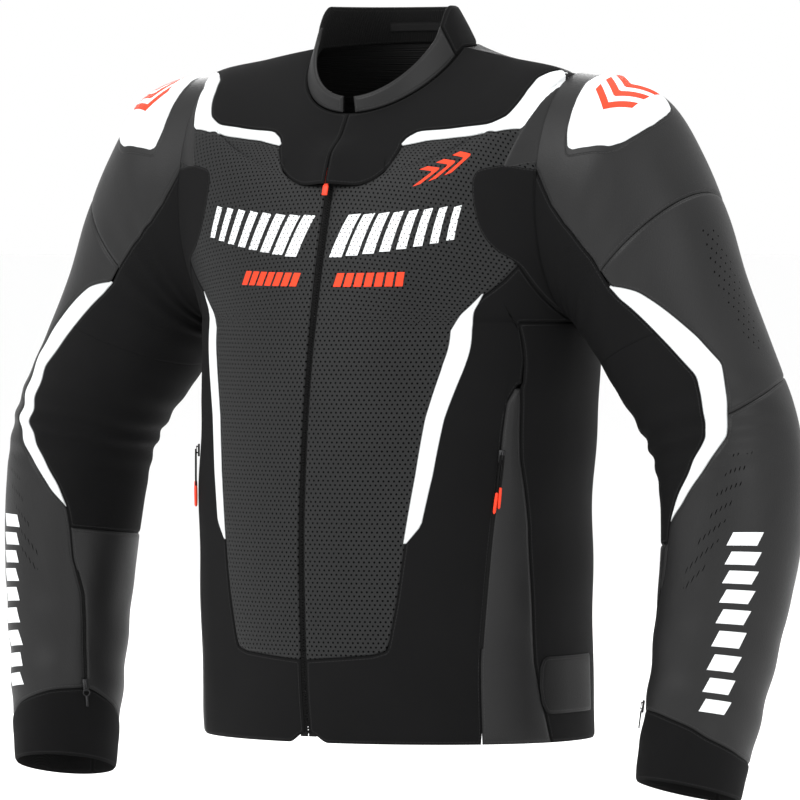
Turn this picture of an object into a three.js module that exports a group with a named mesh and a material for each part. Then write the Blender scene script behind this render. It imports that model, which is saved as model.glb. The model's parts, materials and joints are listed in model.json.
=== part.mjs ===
// A leather riding jacket, in millimetres. +Z is up, +X is the wearer's left, the front faces -Y.
// The origin is the centre of the neck opening at the height of the nape seam.
//
// Each panel is a patch of one of three surfaces (torso, collar, sleeve), cut along its seams
// and given its own thickness, so that neighbouring panels meet with a small seam gap.
import * as THREE from "three";

// ---------------------------------------------------------------- driving dimensions
const SEAM_GAP = 0.4;            // half of the gap between two sewn panels
const LEATHER = 2.0;             // thickness of a leather or stretch panel
const PAD_DEPTH = 8;             // thickness of an armour pad
const PAD_GAP = 2.3;             // gap between a pad's sampled surface and the shell over it
const PLATE_LIFT = 1.2;          // gap between the shoulder plate and the leather under it
const LINING = 1.0;              // thickness of the mesh lining
const LINING_DEPTH = 14.3;       // how far the lining lies inside the outer shell
const CLEAR = 0.35;              // gap between two pieces that touch

const BACK_LENGTH = 648;         // nape to hem
const CHEST_HALF = 196.5;        // half of the body width at the armhole plane
const ARMHOLE_TOP = -34;
const ARMHOLE_BOTTOM = -262;
const ARMHOLE_HALF_DEPTH = 80;
const ARMHOLE_MID_Y = 8;
const JOINT_GAP = 0.6;           // sleeve root to armhole

const FRONT_RADIUS = 1250;       // arc of the closed front zip, seen from the side
const FRONT_MID_Z = -480;
const FRONT_Y = -162;
const FRONT_POWER = 2.0;
const BACK_POWER = 2.3;

const CUFF_Z = -682;             // inner end of the cuff
const TAPE_HALF = 7;             // half width of the zip recess
const TEETH_GAP = 0.5;
const SLIDER = { width: 10, length: 15, thick: 4 };
const PULL = { width: 6, length: 26, thick: 2 };
const COLLAR_THICK = 4;
const COLLAR_END = 7;            // half of the gap between the collar's front ends

// rings of the body: height at the side, back, front drop, back drop, half width, front inset, drop power
const RINGS = [
  [-BACK_LENGTH, 146, 0, 0, 190, 0, 1.5],
  [-560, 146, 0, 0, 188, 0, 1.5],
  [-470, 147, 0, 0, 189, 0, 1.5],
  [-380, 148, 0, 0, 191, 0, 1.5],
  [-310, 148, 0, 0, 194, 0, 1.5],
  [ARMHOLE_BOTTOM, 146, 0, 0, CHEST_HALF, 0, 1.5],
  [-205, 139, 8, 2, CHEST_HALF, 0, 1.5],
  [-150, 128, 27, 8, CHEST_HALF, 0, 1.5],
  [-105, 115, 50, 15, CHEST_HALF, 0, 1.5],
  [-70, 100, 70, 25, CHEST_HALF, 0, 1.5],
  [ARMHOLE_TOP, 80, 92, 28, CHEST_HALF, 0, 1.4],
  [-19, 70, 80, 12, 132, 3, 1.2],
  [-9, 61, 61, -7, 80, 10, 1.0],
];
const TOP = RINGS.length - 1;

// rings of a sleeve: inner x, z, outer x, z, middle y, half depth, lift of the front edge
const SLEEVE = [
  [CHEST_HALF + JOINT_GAP, ARMHOLE_BOTTOM, CHEST_HALF + JOINT_GAP, ARMHOLE_TOP, 8, 80, 0],
  [199, -264, 240, -40, 9, 82, 0],
  [202, -267, 280, -58, 9, 83, 0],
  [206, -271, 311, -102, 10, 82, 0],
  [212, -278, 340, -160, 10, 80, 0],
  [224, -292, 361, -218, 9, 77, 0],
  [247, -325, 388, -278, 7, 74, 0],
  [277, -363, 413, -330, 4, 71, 0],
  [292, -392, 424, -368, 2, 69, 0],
  [298, -428, 429, -415, 0, 67, 2],
  [302, -480, 427, -474, -7, 64, 6],
  [303, -535, 419, -533, -17, 60, 8],
  [301, -600, 406, -602, -29, 55, 10],
  [299, -650, 397, -656, -40, 51, 12],
  [298, CUFF_Z, 392, CUFF_Z - 8, -46, 49, 12],
];
const CUFF_END = SLEEVE.length - 1;
const ELBOW = { end: 7.05, start: 8.1, slant: 0.33 };   // where the fold begins and ends, wider in front

// ---------------------------------------------------------------- curves and surfaces
const rad = THREE.MathUtils.degToRad;

function smoothRow(table, at) {
  const i = Math.min(Math.max(Math.floor(at), 0), table.length - 2);
  const t = at - i;
  const b = table[i];
  const c = table[i + 1];
  const a = table[i - 1] ?? b.map((value, k) => 2 * value - c[k]);
  const d = table[i + 2] ?? c.map((value, k) => 2 * value - b[k]);
  return b.map((value, k) => 0.5 * (2 * value + (c[k] - a[k]) * t
    + (2 * a[k] - 5 * value + 4 * c[k] - d[k]) * t * t
    + (3 * value - a[k] - 3 * c[k] + d[k]) * t * t * t));
}

function polyline(points) {
  return (at) => {
    let i = 0;
    while (i < points.length - 2 && at > points[i + 1][0]) i++;
    const [x0, y0] = points[i];
    const [x1, y1] = points[i + 1];
    const t = Math.min(Math.max((at - x0) / (x1 - x0), 0), 1);
    return y0 + (y1 - y0) * t;
  };
}

function frontY(z) {
  const rise = Math.sqrt(FRONT_RADIUS ** 2 - (z - FRONT_MID_Z) ** 2);
  return FRONT_Y + FRONT_RADIUS - rise;
}

function armholeHalf(z) {
  const middle = (ARMHOLE_TOP + ARMHOLE_BOTTOM) / 2;
  const radius = (ARMHOLE_TOP - ARMHOLE_BOTTOM) / 2;
  return ARMHOLE_HALF_DEPTH * Math.sqrt(Math.max(0, 1 - ((z - middle) / radius) ** 2));
}

// half a body ring: g runs from -90 at one side over 0 in the middle to +90 at the other
function halfRing(g, v, front) {
  const [z0, back, frontDrop, backDrop, width, inset, dropPower] = smoothRow(RINGS, v);
  const yFront = frontY(z0 - frontDrop) + inset;
  const middle = (yFront + back) / 2;
  const depth = (back - yFront) / 2;
  const power = front ? FRONT_POWER : BACK_POWER;
  const half = armholeHalf(z0);
  let wide = Math.min(width, CHEST_HALF);
  let edge = Math.PI / 2;
  if (z0 > ARMHOLE_BOTTOM && z0 < ARMHOLE_TOP) {
    const reach = front ? middle - (ARMHOLE_MID_Y - half) : ARMHOLE_MID_Y + half - middle;
    if (reach > 0) {
      wide = CHEST_HALF / (1 - Math.min(reach / depth, 0.97) ** power) ** (1 / power);
      edge = Math.asin((CHEST_HALF / wide) ** (power / 2));
    }
  }
  const u = (g / 90) * edge;
  const s = Math.sin(u);
  const x = wide * Math.sign(s) * Math.abs(s) ** (2 / power);
  const y = middle + (front ? -1 : 1) * depth * Math.abs(Math.cos(u)) ** (2 / power);
  const drop = (front ? frontDrop : backDrop) * Math.max(0, Math.cos(rad(g))) ** dropPower;
  return new THREE.Vector3(x, y, z0 - drop);
}

const frontSurface = (g, v) => halfRing(g, v, true);
const backSurface = (g, v) => halfRing(g, v, false);

// whole body ring: g is an angle, 0 in front and 90 at the wearer's left
const wrapped = (g) => THREE.MathUtils.euclideanModulo(g + 180, 360) - 180;
function bodySurface(angle, v) {
  const g = wrapped(angle);
  if (Math.abs(g) <= 90) return frontSurface(g, v);
  return backSurface(Math.sign(g) * (180 - Math.abs(g)), v);
}

// the collar rises from the neck ring; h runs from 0 at its seam to 1 at its top edge
const COLLAR_TOP = { half: 68, depth: 64, middle: -20, side: 15, drop: 70, back: 30 };
function collarSurface(g, h) {
  const base = bodySurface(g, TOP);
  const a = rad(g);
  const rise = THREE.MathUtils.smoothstep(Math.abs(wrapped(g)), 75, 100);
  const front = COLLAR_TOP.side - COLLAR_TOP.drop * Math.cos(a);
  const top = new THREE.Vector3(
    COLLAR_TOP.half * Math.sin(a),
    COLLAR_TOP.middle - COLLAR_TOP.depth * Math.cos(a),
    THREE.MathUtils.lerp(Math.min(front, COLLAR_TOP.back), COLLAR_TOP.back, rise),
  );
  return base.lerp(top, h);
}

// the left sleeve: phi 0 is the outer side, 90 the front, 180 the inner side
function sleeveSurface(phi, s) {
  const [innerX, innerZ, outerX, outerZ, middleY, depth, lift] = smoothRow(SLEEVE, s);
  const c = Math.cos(rad(phi));
  const f = Math.sin(rad(phi));
  return new THREE.Vector3(
    (innerX + outerX) / 2 + (outerX - innerX) / 2 * c,
    middleY - depth * f,
    (innerZ + outerZ) / 2 + (outerZ - innerZ) / 2 * c + lift * f,
  );
}

function normalAt(surface, a, b, aStep, bStep) {
  const da = surface(a + aStep, b).sub(surface(a - aStep, b));
  const db = surface(a, b + bStep).sub(surface(a, b - bStep));
  return da.cross(db).normalize();
}

// ---------------------------------------------------------------- patches
const STEP_A = 0.5;
const STEP_B = 0.01;

// a point at a depth inside the surface, moved along the surface by mm in a and b
function placed(surface, a, b, depth, outward, flat) {
  const normal = normalAt(surface, a, b, STEP_A, STEP_B).multiplyScalar(outward);
  if (flat) {
    normal.x = 0;
    normal.normalize();
  }
  return surface(a, b).addScaledVector(normal, -depth);
}

// closed solid from two sheets of points: rows x columns, outer first
function sheetSolid(outer, inner, flip) {
  const rows = outer.length;
  const columns = outer[0].length;
  const positions = [...outer.flat(), ...inner.flat()].flatMap((p) => [p.x, p.y, p.z]);
  const index = [];
  const half = rows * columns;
  const quad = (a, b, c, d) => {
    if (flip) index.push(a, c, b, a, d, c);
    else index.push(a, b, c, a, c, d);
  };
  for (let r = 0; r < rows - 1; r++) {
    for (let c = 0; c < columns - 1; c++) {
      const p = r * columns + c;
      quad(p, p + 1, p + columns + 1, p + columns);
      quad(half + p, half + p + columns, half + p + columns + 1, half + p + 1);
    }
  }
  for (let c = 0; c < columns - 1; c++) {
    const last = (rows - 1) * columns + c;
    quad(c, half + c, half + c + 1, c + 1);
    quad(last, last + 1, half + last + 1, half + last);
  }
  for (let r = 0; r < rows - 1; r++) {
    const p = r * columns;
    const q = p + columns - 1;
    quad(p, p + columns, half + p + columns, half + p);
    quad(q, half + q, half + q + columns, q + columns);
  }
  const geometry = new THREE.BufferGeometry();
  geometry.setAttribute("position", new THREE.Float32BufferAttribute(positions, 3));
  geometry.setIndex(index);
  geometry.computeVertexNormals();
  return geometry;
}

function spread(stops, count) {
  const total = stops[stops.length - 1] - stops[0];
  const values = [];
  for (let i = 0; i < stops.length - 1; i++) {
    const steps = Math.max(1, Math.round(count * (stops[i + 1] - stops[i]) / total));
    for (let k = 0; k < steps; k++) values.push(stops[i] + (stops[i + 1] - stops[i]) * k / steps);
  }
  return [...values, stops[stops.length - 1]];
}

// surface distance per unit of a and of b
function scaleAt(surface, a, b) {
  const da = surface(a + STEP_A, b).distanceTo(surface(a - STEP_A, b)) / (2 * STEP_A);
  const db = surface(a, b + STEP_B).distanceTo(surface(a, b - STEP_B)) / (2 * STEP_B);
  return [da, db];
}

// patch made of columns (fixed a, b from low to high) or of rows (fixed b, a from low to high)
function patch(surface, options) {
  const { columns, stops, low, high, count, across, outward = 1, depth = 0, thick = LEATHER, flatX } = options;
  const gap = options.gap ?? SEAM_GAP;
  const outer = [];
  const inner = [];
  const fixed = spread(stops, count);
  fixed.forEach((value, i) => {
    const from = low(value);
    const to = Math.max(high(value), from + 1e-6);
    const middle = (from + to) / 2;
    const [sa, sb] = columns ? scaleAt(surface, value, middle) : scaleAt(surface, middle, value);
    const ends = [gap / Math.max(columns ? sb : sa, 0.02), 0];
    const shift = gap / Math.max(columns ? sa : sb, 0.02) * (i === 0 ? 1 : i === fixed.length - 1 ? -1 : 0);
    const at = value + shift;
    const lowEnd = from + ends[0];
    const highEnd = Math.max(to - ends[0], lowEnd + ends[0]);
    const outerRow = [];
    const innerRow = [];
    for (let k = 0; k <= across; k++) {
      const along = lowEnd + (highEnd - lowEnd) * k / across;
      const [a, b] = columns ? [at, along] : [along, at];
      outerRow.push(placed(surface, a, b, depth, outward, flatX?.(a, b)));
      innerRow.push(placed(surface, a, b, depth + thick, outward, flatX?.(a, b)));
    }
    outer.push(outerRow);
    inner.push(innerRow);
  });
  const flip = (columns ? outward > 0 : outward < 0);
  return sheetSolid(outer, inner, flip);
}

function mirrored(geometry) {
  const copy = geometry.clone();
  copy.scale(-1, 1, 1);
  const index = copy.getIndex();
  for (let i = 0; i < index.count; i += 3) {
    const b = index.getX(i + 1);
    index.setX(i + 1, index.getX(i + 2));
    index.setX(i + 2, b);
  }
  copy.computeVertexNormals();
  return copy;
}

// ---------------------------------------------------------------- seams (k or phi in degrees against v or s)
// front seams of the left half, as k -> v
const chestBottom = polyline([
  [0, 0.87], [20, 0.93], [25, 0.98], [28, 1.5], [30, 2.05], [33, 2.75], [35, 3.4], [39, 4.2],
  [45, 4.85], [50, 5.15], [60, 5.45],
]);
const chestTop = polyline([
  [0, 9.3], [9, 9.1], [14, 9.3], [16, 10.15], [23, 10.6], [32, 10.47], [39, 10.22], [50, 9.7], [63, 9.1],
  [78, 8.7], [90, 8.5],
]);
const stripeTop = polyline([
  [23, 10.66], [27, 10.8], [32, 10.84], [35, 10.76], [39, 10.6], [45, 10.37], [50, 10.12], [56, 10.03],
  [63, 10.1], [70, 10.2], [78, 10.28], [84, 10.24], [90, 10.15],
]);
const UPPER_STOPS = [27, 32, 35, 39, 45, 50, 56, 63, 70, 78, 84, 90];
const bellyTop = polyline([
  [0, 0.87], [20, 0.93], [25, 0.98], [28, 1.5], [30, 2.05], [32.5, 2.1], [35, 2.25], [38, 2.75],
  [40.5, 3.4], [47, 4.2], [53.5, 4.85], [57, 5.15], [61, 5.45], [66, 5.5],
]);
const sideStripeInner = polyline([
  [2.1, 30.3], [2.75, 33], [3.4, 35], [4.2, 39], [4.85, 45], [5.15, 50], [5.45, 60],
]);
const STRIPE_STOPS = [2.14, 2.25, 2.75, 3.4, 4.2, 4.85, 5.15, 5.3];
const sideStripeOuter = polyline([
  [2.1, 32.5], [2.25, 35], [2.75, 38], [3.4, 40.5], [4.2, 47], [4.85, 53.5], [5.15, 57], [5.45, 61],
]);
const pocketFront = polyline([
  [0, 52.5], [0.83, 53.5], [1.83, 56.5], [2.23, 57.5], [2.9, 59.5], [3.6, 60.5], [3.85, 64],
]);
const pocketBack = polyline([
  [0, 80], [0.83, 74.5], [1.83, 72.5], [2.23, 71.5], [2.9, 67.3], [3.6, 66], [3.85, 65.2],
]);
const POCKET_STOPS = [0, 0.83, 1.83, 2.23, 2.9, 3.6];
const PANEL_EDGE = 60;           // k where the armpit panel meets the chest
const BEND_MARGIN = 1.5;         // keeps the armpit panel clear of the chest panel's straight edge
const ARMPIT_TOP = 7.9;
const POCKET_TOP = 3.85;
const UNDERARM_K = 66;
const ARMPIT_V = 5;
const SIDE_BACK = 130;           // g where the side panel meets the back panel
const BACK_STRETCH_V = [6.9, 8.3];

// front surface with the zip recess left free: k = 0 at the recess edge, 90 at the side
function pastZip(v) {
  return TAPE_HALF / frontSurface(1, v).x;
}
const frontPanel = (k, v) => frontSurface(k + (1 - k / 90) * pastZip(v), v);

// sleeve surfaces that end at the elbow gap
const elbowEnd = (phi) => ELBOW.end - ELBOW.slant * Math.sin(rad(phi));
const elbowStart = (phi) => ELBOW.start + ELBOW.slant * Math.sin(rad(phi));
const UPPER_T = 7;
const LOWER_T = 8;
const upperSleeve = (phi, t) => sleeveSurface(phi, t * elbowEnd(phi) / UPPER_T);
function lowerSleeve(phi, t) {
  const start = elbowStart(phi);
  return sleeveSurface(phi, start + (t - LOWER_T) / (CUFF_END - LOWER_T) * (CUFF_END - start));
}
function elbowSurface(phi, q) {
  return sleeveSurface(phi, THREE.MathUtils.lerp(elbowEnd(phi), elbowStart(phi), q));
}

// sleeve seams, as t -> phi
const CAP_END = 3.7;
const innerEdge = polyline([
  [0, 84], [0.6, 86], [1.6, 91], [2.2, 97], [3.7, 95], [4.2, 94], [4.7, 91], [5.2, 87], [5.8, 81], [6.4, 76],
  [7, 75],
]);
const CAP_STOPS = [0.02, 0.6, 1.1, 1.6, 2.2, 2.9, CAP_END];
const STRIPE_T = [4.2, 4.7, 5.2, 5.8, 6.4, UPPER_T];
const stripeOuter = polyline([[3.7, 94.6], [4.2, 92.8], [4.7, 82], [5.2, 73], [5.8, 61], [6.4, 52], [7, 57]]);
const CUFF_START = 12.55;
const foreOuter = polyline([
  [LOWER_T, 66], [8.4, 80], [8.75, 91.5], [9.1, 103], [9.5, 120], [9.8, 124], [10.3, 128], [10.9, 140],
  [11.7, 143], [CUFF_START, 146],
]);
const foreInner = polyline([
  [LOWER_T, 90], [8.4, 99], [8.75, 107], [9.1, 117], [9.5, 121], [9.8, 124], [10.3, 128], [10.9, 140],
  [11.7, 143], [CUFF_START, 146],
]);
const FORE_STOPS = [LOWER_T, 8.4, 8.75, 9.1, 9.5, 9.8, 10.3, 10.9, 11.7, CUFF_START];
const SLEEVE_BACK = -88;

// ---------------------------------------------------------------- materials
const finish = (color, roughness, metalness = 0) => new THREE.MeshStandardMaterial({ color, roughness, metalness });
const LOOKS = {
  leather: () => finish(0x3a3a3a, 0.55),
  perforated: () => finish(0x363838, 0.6),
  textile: () => finish(0x1e1e1e, 0.8),
  white: () => finish(0xebeeee, 0.5),
  accent: () => finish(0xff5032, 0.5),
  metal: () => finish(0x303030, 0.35, 0.8),
  pad: () => finish(0xd8a040, 0.8),
  lining: () => finish(0x101010, 0.9),
};

const jacket = new THREE.Group();

function add(name, look, geometry, parent = jacket) {
  const mesh = new THREE.Mesh(geometry, LOOKS[look]());
  mesh.name = name;
  parent.add(mesh);
  return mesh;
}

function addPair(name, look, geometry) {
  add(`${name}_left`, look, geometry);
  add(`${name}_right`, look, mirrored(geometry));
}

// ---------------------------------------------------------------- body panels
const always = (value) => () => value;

function bodyPanels() {
  addPair("chest_panel", "perforated", patch(frontPanel, {
    columns: true, count: 1, across: 9,
    stops: [0, 5, 9, 14, 16, 20, 23, 25, 27, 28, 30, 32, 33, 35, 39, 45, 50, 56, PANEL_EDGE - 0.8, PANEL_EDGE, 63,
      70, 78, 84, 90],
    low: (k) => (k > PANEL_EDGE - 0.4 ? ARMPIT_TOP : chestBottom(k)), high: chestTop,
  }));
  addPair("yoke_stripe", "white", patch(frontPanel, {
    columns: true, stops: [23.4, ...UPPER_STOPS], count: 1, across: 2, gap: 1.7, low: chestTop, high: stripeTop,
  }));
  addPair("neck_yoke", "textile", patch(frontPanel, {
    columns: true, stops: [0, 5, 9, 14, 16, 20, 23, ...UPPER_STOPS], count: 1, across: 4,
    low: (k) => (k < 23 ? chestTop(k) : stripeTop(k)), high: always(TOP),
  }));
  addPair("side_stripe", "white", patch(frontPanel, {
    stops: STRIPE_STOPS, count: 1, across: 2, low: sideStripeInner, high: sideStripeOuter,
  }));
  addPair("belly_panel", "textile", patch(frontPanel, {
    columns: true, count: 1, across: 5,
    stops: [0, 5, 9, 14, 20, 25, 28, 30, 32.5, 35, 38, 40.5, 47, 52.5, 53.5, 56.5, 57.5, 59.5, 60.5, 64, UNDERARM_K],
    low: (k) => {
      if (k < 52.5) return 0;
      return bellyLow(k);
    },
    high: bellyTop,
  }));
  addPair("pocket_panel", "leather", patch(bodySurface, {
    stops: [...POCKET_STOPS, POCKET_TOP - 0.06], count: 1, across: 3,
    low: (v) => onBody(pocketFront(v), v), high: (v) => onBody(pocketBack(v), v),
  }));
  addPair("side_panel", "textile", patch(bodySurface, {
    stops: [...POCKET_STOPS, POCKET_TOP, 4.4, ARMPIT_V], count: 1, across: 6,
    low: (v) => onBody(v < POCKET_TOP ? pocketBack(v) : UNDERARM_K, v), high: always(SIDE_BACK),
  }));
  addPair("armpit_panel", "textile", patch(frontPanel, {
    columns: true, count: 1, across: 5,
    stops: [PANEL_EDGE + BEND_MARGIN, UNDERARM_K, UNDERARM_K + 0.6, 70, 78, 84, 90],
    low: (k) => (k < UNDERARM_K + 0.3 ? 5.52 : ARMPIT_V), high: always(ARMPIT_TOP),
  }));
}

// lower edge of the belly panel behind the pocket's front seam
const bellyLow = polyline([
  [52.5, 0], [53.5, 0.83], [56.5, 1.83], [57.5, 2.23], [59.5, 2.9], [60.5, 3.6], [64, 3.87], [66, 3.87],
]);

// the body angle that matches the front panel's k
function onBody(k, v) {
  return k + (1 - k / 90) * pastZip(v);
}

function backPanels() {
  const outward = -1;
  const wide = 90;
  const narrow = 180 - SIDE_BACK;
  const half = (v) => (v > ARMPIT_V + 0.02 ? wide : narrow);
  add("back_panel", "leather", patch(backSurface, {
    stops: [0, ARMPIT_V, ARMPIT_V + 0.04, BACK_STRETCH_V[0]], count: 9, across: 12, outward,
    low: (v) => -half(v), high: half,
  }));
  add("back_stretch", "textile", patch(backSurface, {
    stops: BACK_STRETCH_V, count: 3, across: 14, outward, low: always(-wide), high: always(wide),
  }));
  add("back_yoke", "leather", patch(backSurface, {
    stops: [BACK_STRETCH_V[1], TOP], count: 6, across: 14, outward, low: always(-wide), high: always(wide),
  }));
  add("back_pad", "pad", patch(backSurface, {
    stops: [2.6, ARMPIT_V, 7.6], count: 12, across: 6, outward, depth: LEATHER + PAD_GAP + 0.7, thick: PAD_DEPTH,
    low: always(-25), high: always(25),
  }));
  add("torso_lining", "lining", patch(bodySurface, {
    stops: [0.15, ARMPIT_V - 0.15], count: 8, across: 28, depth: LINING_DEPTH, thick: LINING,
    low: always(5), high: always(355),
  }));
}

function collarPanels() {
  const look = "leather";
  const front = COLLAR_END / 80 * 57.3;
  const seam = 82;
  const collarGap = SEAM_GAP;
  const shape = { columns: true, across: 2, thick: COLLAR_THICK, gap: collarGap, low: always(0.01), high: always(1) };
  addPair("collar_front", look, patch(collarSurface, { ...shape, stops: [front, seam], count: 8 }));
  add("collar_back", "textile", patch(collarSurface, { ...shape, stops: [seam, 360 - seam], count: 14 }));
}

// ---------------------------------------------------------------- sleeve panels
function sleevePanels() {
  const back = 360 + SLEEVE_BACK;
  addPair("shoulder_cap", "leather", patch(upperSleeve, {
    stops: CAP_STOPS, count: 1, across: 9, low: always(SLEEVE_BACK), high: innerEdge,
  }));
  addPair("upper_panel", "leather", patch(upperSleeve, {
    stops: [CAP_END, ...STRIPE_T], count: 1, across: 8, low: always(SLEEVE_BACK), high: stripeOuter,
  }));
  addPair("upper_stripe", "white", patch(upperSleeve, {
    stops: STRIPE_T, count: 1, across: 2, low: stripeOuter, high: innerEdge,
  }));
  addPair("upper_inner", "textile", patch(upperSleeve, {
    stops: [...CAP_STOPS, ...STRIPE_T], count: 1, across: 8, low: innerEdge, high: always(back),
  }));
  addPair("elbow_fold", "textile", patch(elbowSurface, {
    stops: [0, 1], count: 3, across: 18, gap: 0.6, low: always(SLEEVE_BACK), high: always(back),
  }));
  addPair("forearm_panel", "leather", patch(lowerSleeve, {
    stops: FORE_STOPS, count: 1, across: 9, low: always(SLEEVE_BACK), high: foreOuter,
  }));
  addPair("forearm_stripe", "white", patch(lowerSleeve, {
    stops: [LOWER_T, 8.4, 8.75, 9.1, 9.42], count: 1, across: 2, low: foreOuter, high: foreInner,
  }));
  addPair("forearm_inner", "textile", patch(lowerSleeve, {
    stops: FORE_STOPS, count: 1, across: 7, low: foreInner, high: always(back),
  }));
  addPair("cuff", "textile", patch(lowerSleeve, {
    stops: [CUFF_START, CUFF_END], count: 3, across: 18, low: always(SLEEVE_BACK), high: always(back),
  }));
  addPair("shoulder_plate", "white", patch(upperSleeve, {
    stops: [0.7, 2.5], count: 8, across: 6, depth: -(LEATHER + PLATE_LIFT), thick: LEATHER,
    low: always(-12), high: (t) => 64 - 12 * Math.max(0, t - 1.4),
  }));
  addPair("shoulder_pad", "pad", patch(upperSleeve, {
    stops: [1.1, 1.6, 2.2, 2.9, 3.4], count: 1, across: 6, depth: LEATHER + PAD_GAP, thick: PAD_DEPTH,
    low: always(-55), high: always(60),
  }));
  addPair("elbow_pad", "pad", patch(lowerSleeve, {
    stops: [LOWER_T + 0.1, 10.2], count: 5, across: 5, depth: LEATHER + PAD_GAP, thick: PAD_DEPTH,
    low: always(-75), high: always(30),
  }));
}

// ---------------------------------------------------------------- zips, pulls and waist tabs
function tape() {
  const inner = (v) => TEETH_GAP / frontSurface(1, v).x;
  const outer = (v) => (TAPE_HALF - CLEAR) / frontSurface(1, v).x;
  addPair("zip_tape", "textile", patch(frontSurface, {
    stops: [0.05, TOP - 0.1], count: 22, across: 1, depth: 0.5, thick: 1.5, low: inner, high: outer, gap: 0,
  }));
}

// box whose back lies at a height over a surface point, its length along the given tangent
function tag(size, origin, tangent, normal, lift) {
  const x = normal.clone().cross(tangent).normalize();
  const frame = new THREE.Matrix4().makeBasis(x, normal, tangent);
  const box = new THREE.BoxGeometry(size.width, size.thick, size.length);
  box.applyMatrix4(frame);
  const centre = origin.clone().addScaledVector(normal, lift + size.thick / 2);
  box.translate(centre.x, centre.y, centre.z);
  return box;
}

// z of the closed main slider and of the pocket and cuff sliders, as surface places
const SLIDER_V = 9.93;
const PULL_GAP = 0.4;

const ZIP_LIFT = 0.15;
const sliderPlace = frontSurface(0, SLIDER_V);
const sliderSlope = Math.asin((sliderPlace.z - FRONT_MID_Z) / FRONT_RADIUS);
const alongZip = new THREE.Vector3(0, Math.sin(sliderSlope), Math.cos(sliderSlope));
const offZip = new THREE.Vector3(0, -Math.cos(sliderSlope), Math.sin(sliderSlope));

// pivots of the joints
export const pullPivot = sliderPlace.clone().addScaledVector(alongZip, SLIDER.length / 3)
  .addScaledVector(offZip, ZIP_LIFT + SLIDER.thick + PULL_GAP + PULL.thick / 2);
const elbowMiddle = (ELBOW.end + ELBOW.start) / 2;
export const elbowPivot = sleeveSurface(0, elbowMiddle).add(sleeveSurface(180, elbowMiddle)).multiplyScalar(0.5);

function mainZip() {
  const origin = sliderPlace;
  const up = alongZip;
  const out = offZip;
  add("zip_slider", "metal", tag(SLIDER, origin, up, out, ZIP_LIFT));
  const hung = origin.clone().addScaledVector(up, -PULL.length / 2 + SLIDER.length / 3);
  add("zip_pull", "accent", tag(PULL, hung, up, out, ZIP_LIFT + SLIDER.thick + PULL_GAP));
}

const SIDE_SLIDER = { width: 7, length: 12, thick: 3.5 };
const CORD_PULL = { width: 8, length: 48, thick: 3 };
const CUFF_SLIDER = { width: 7, length: 30, thick: 3.5 };
const POCKET_ZIP = { top: 2.95, bottom: 1.95 };
const CUFF_ZIP = { top: 10.6, bottom: 12.3 };
const SLIDE_LIFT = 0.85;

// slider beside a seam: place on the surface, chord of its travel and the outward normal there
function seamSlide(surface, edge, from, to) {
  const start = surface(edge(from), from);
  const end = surface(edge(to), to);
  const middle = (from + to) / 2;
  const normal = normalAt(surface, edge(middle), middle, STEP_A, STEP_B);
  const along = end.clone().sub(start);
  const length = along.length();
  along.normalize();
  normal.addScaledVector(along, -normal.dot(along)).normalize();
  return { start, along, normal, length };
}

export const pocketSlide = seamSlide(frontPanel, pocketFront, POCKET_ZIP.top, POCKET_ZIP.bottom);
export const cuffSlide = seamSlide(lowerSleeve, foreOuter, CUFF_ZIP.bottom, CUFF_ZIP.top);

const pullHeight = SLIDE_LIFT + SIDE_SLIDER.thick + PULL_GAP;
export const pocketPullPivot = pocketSlide.start.clone()
  .addScaledVector(pocketSlide.along, -SIDE_SLIDER.length / 3)
  .addScaledVector(pocketSlide.normal, pullHeight + CORD_PULL.thick / 2);

function seamZips() {
  const { start, along, normal } = pocketSlide;
  const up = along.clone().negate();
  addPair("pocket_slider", "metal", tag(SIDE_SLIDER, start, up, normal, SLIDE_LIFT));
  const hung = start.clone().addScaledVector(along, CORD_PULL.length / 2 - SIDE_SLIDER.length / 3);
  addPair("pocket_pull", "accent", tag(CORD_PULL, hung, up, normal, pullHeight));
  addPair("cuff_slider", "metal", tag(CUFF_SLIDER, cuffSlide.start, cuffSlide.along, cuffSlide.normal, SLIDE_LIFT));
}

const TAB = { front: 76, back: 106, low: 0.3, high: 0.9 };
const tabMiddle = (TAB.low + TAB.high) / 2;
export const tabPivot = placed(bodySurface, TAB.back, tabMiddle, -(LEATHER + CLEAR), 1);

function waistTabs() {
  addPair("waist_tab", "textile", patch(bodySurface, {
    columns: true, stops: [TAB.front, TAB.back], count: 6, across: 2, depth: -(LEATHER + CLEAR), thick: LEATHER,
    low: always(TAB.low), high: always(TAB.high),
  }));
}

bodyPanels();
backPanels();
collarPanels();
sleevePanels();
tape();
mainZip();
seamZips();
waistTabs();

export default jacket;
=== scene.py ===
# %% [markdown]
# # A leather riding jacket
# This lesson dresses a fixed frame: the jacket's panels are already planned as solid shells with
# real joints, and here each one becomes a sewn piece with puffed edges, folds, stitches and grain.
# A jacket is soft, so its panels are made in mesh code as sheets between their seams. The hard
# little pieces (zip slider, pulls, teeth, rings) are modelled with operators, as by hand.

# %% Load the frame
import json
import math

import bpy
import numpy as np
from mathutils import Matrix, Vector, kdtree


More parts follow.
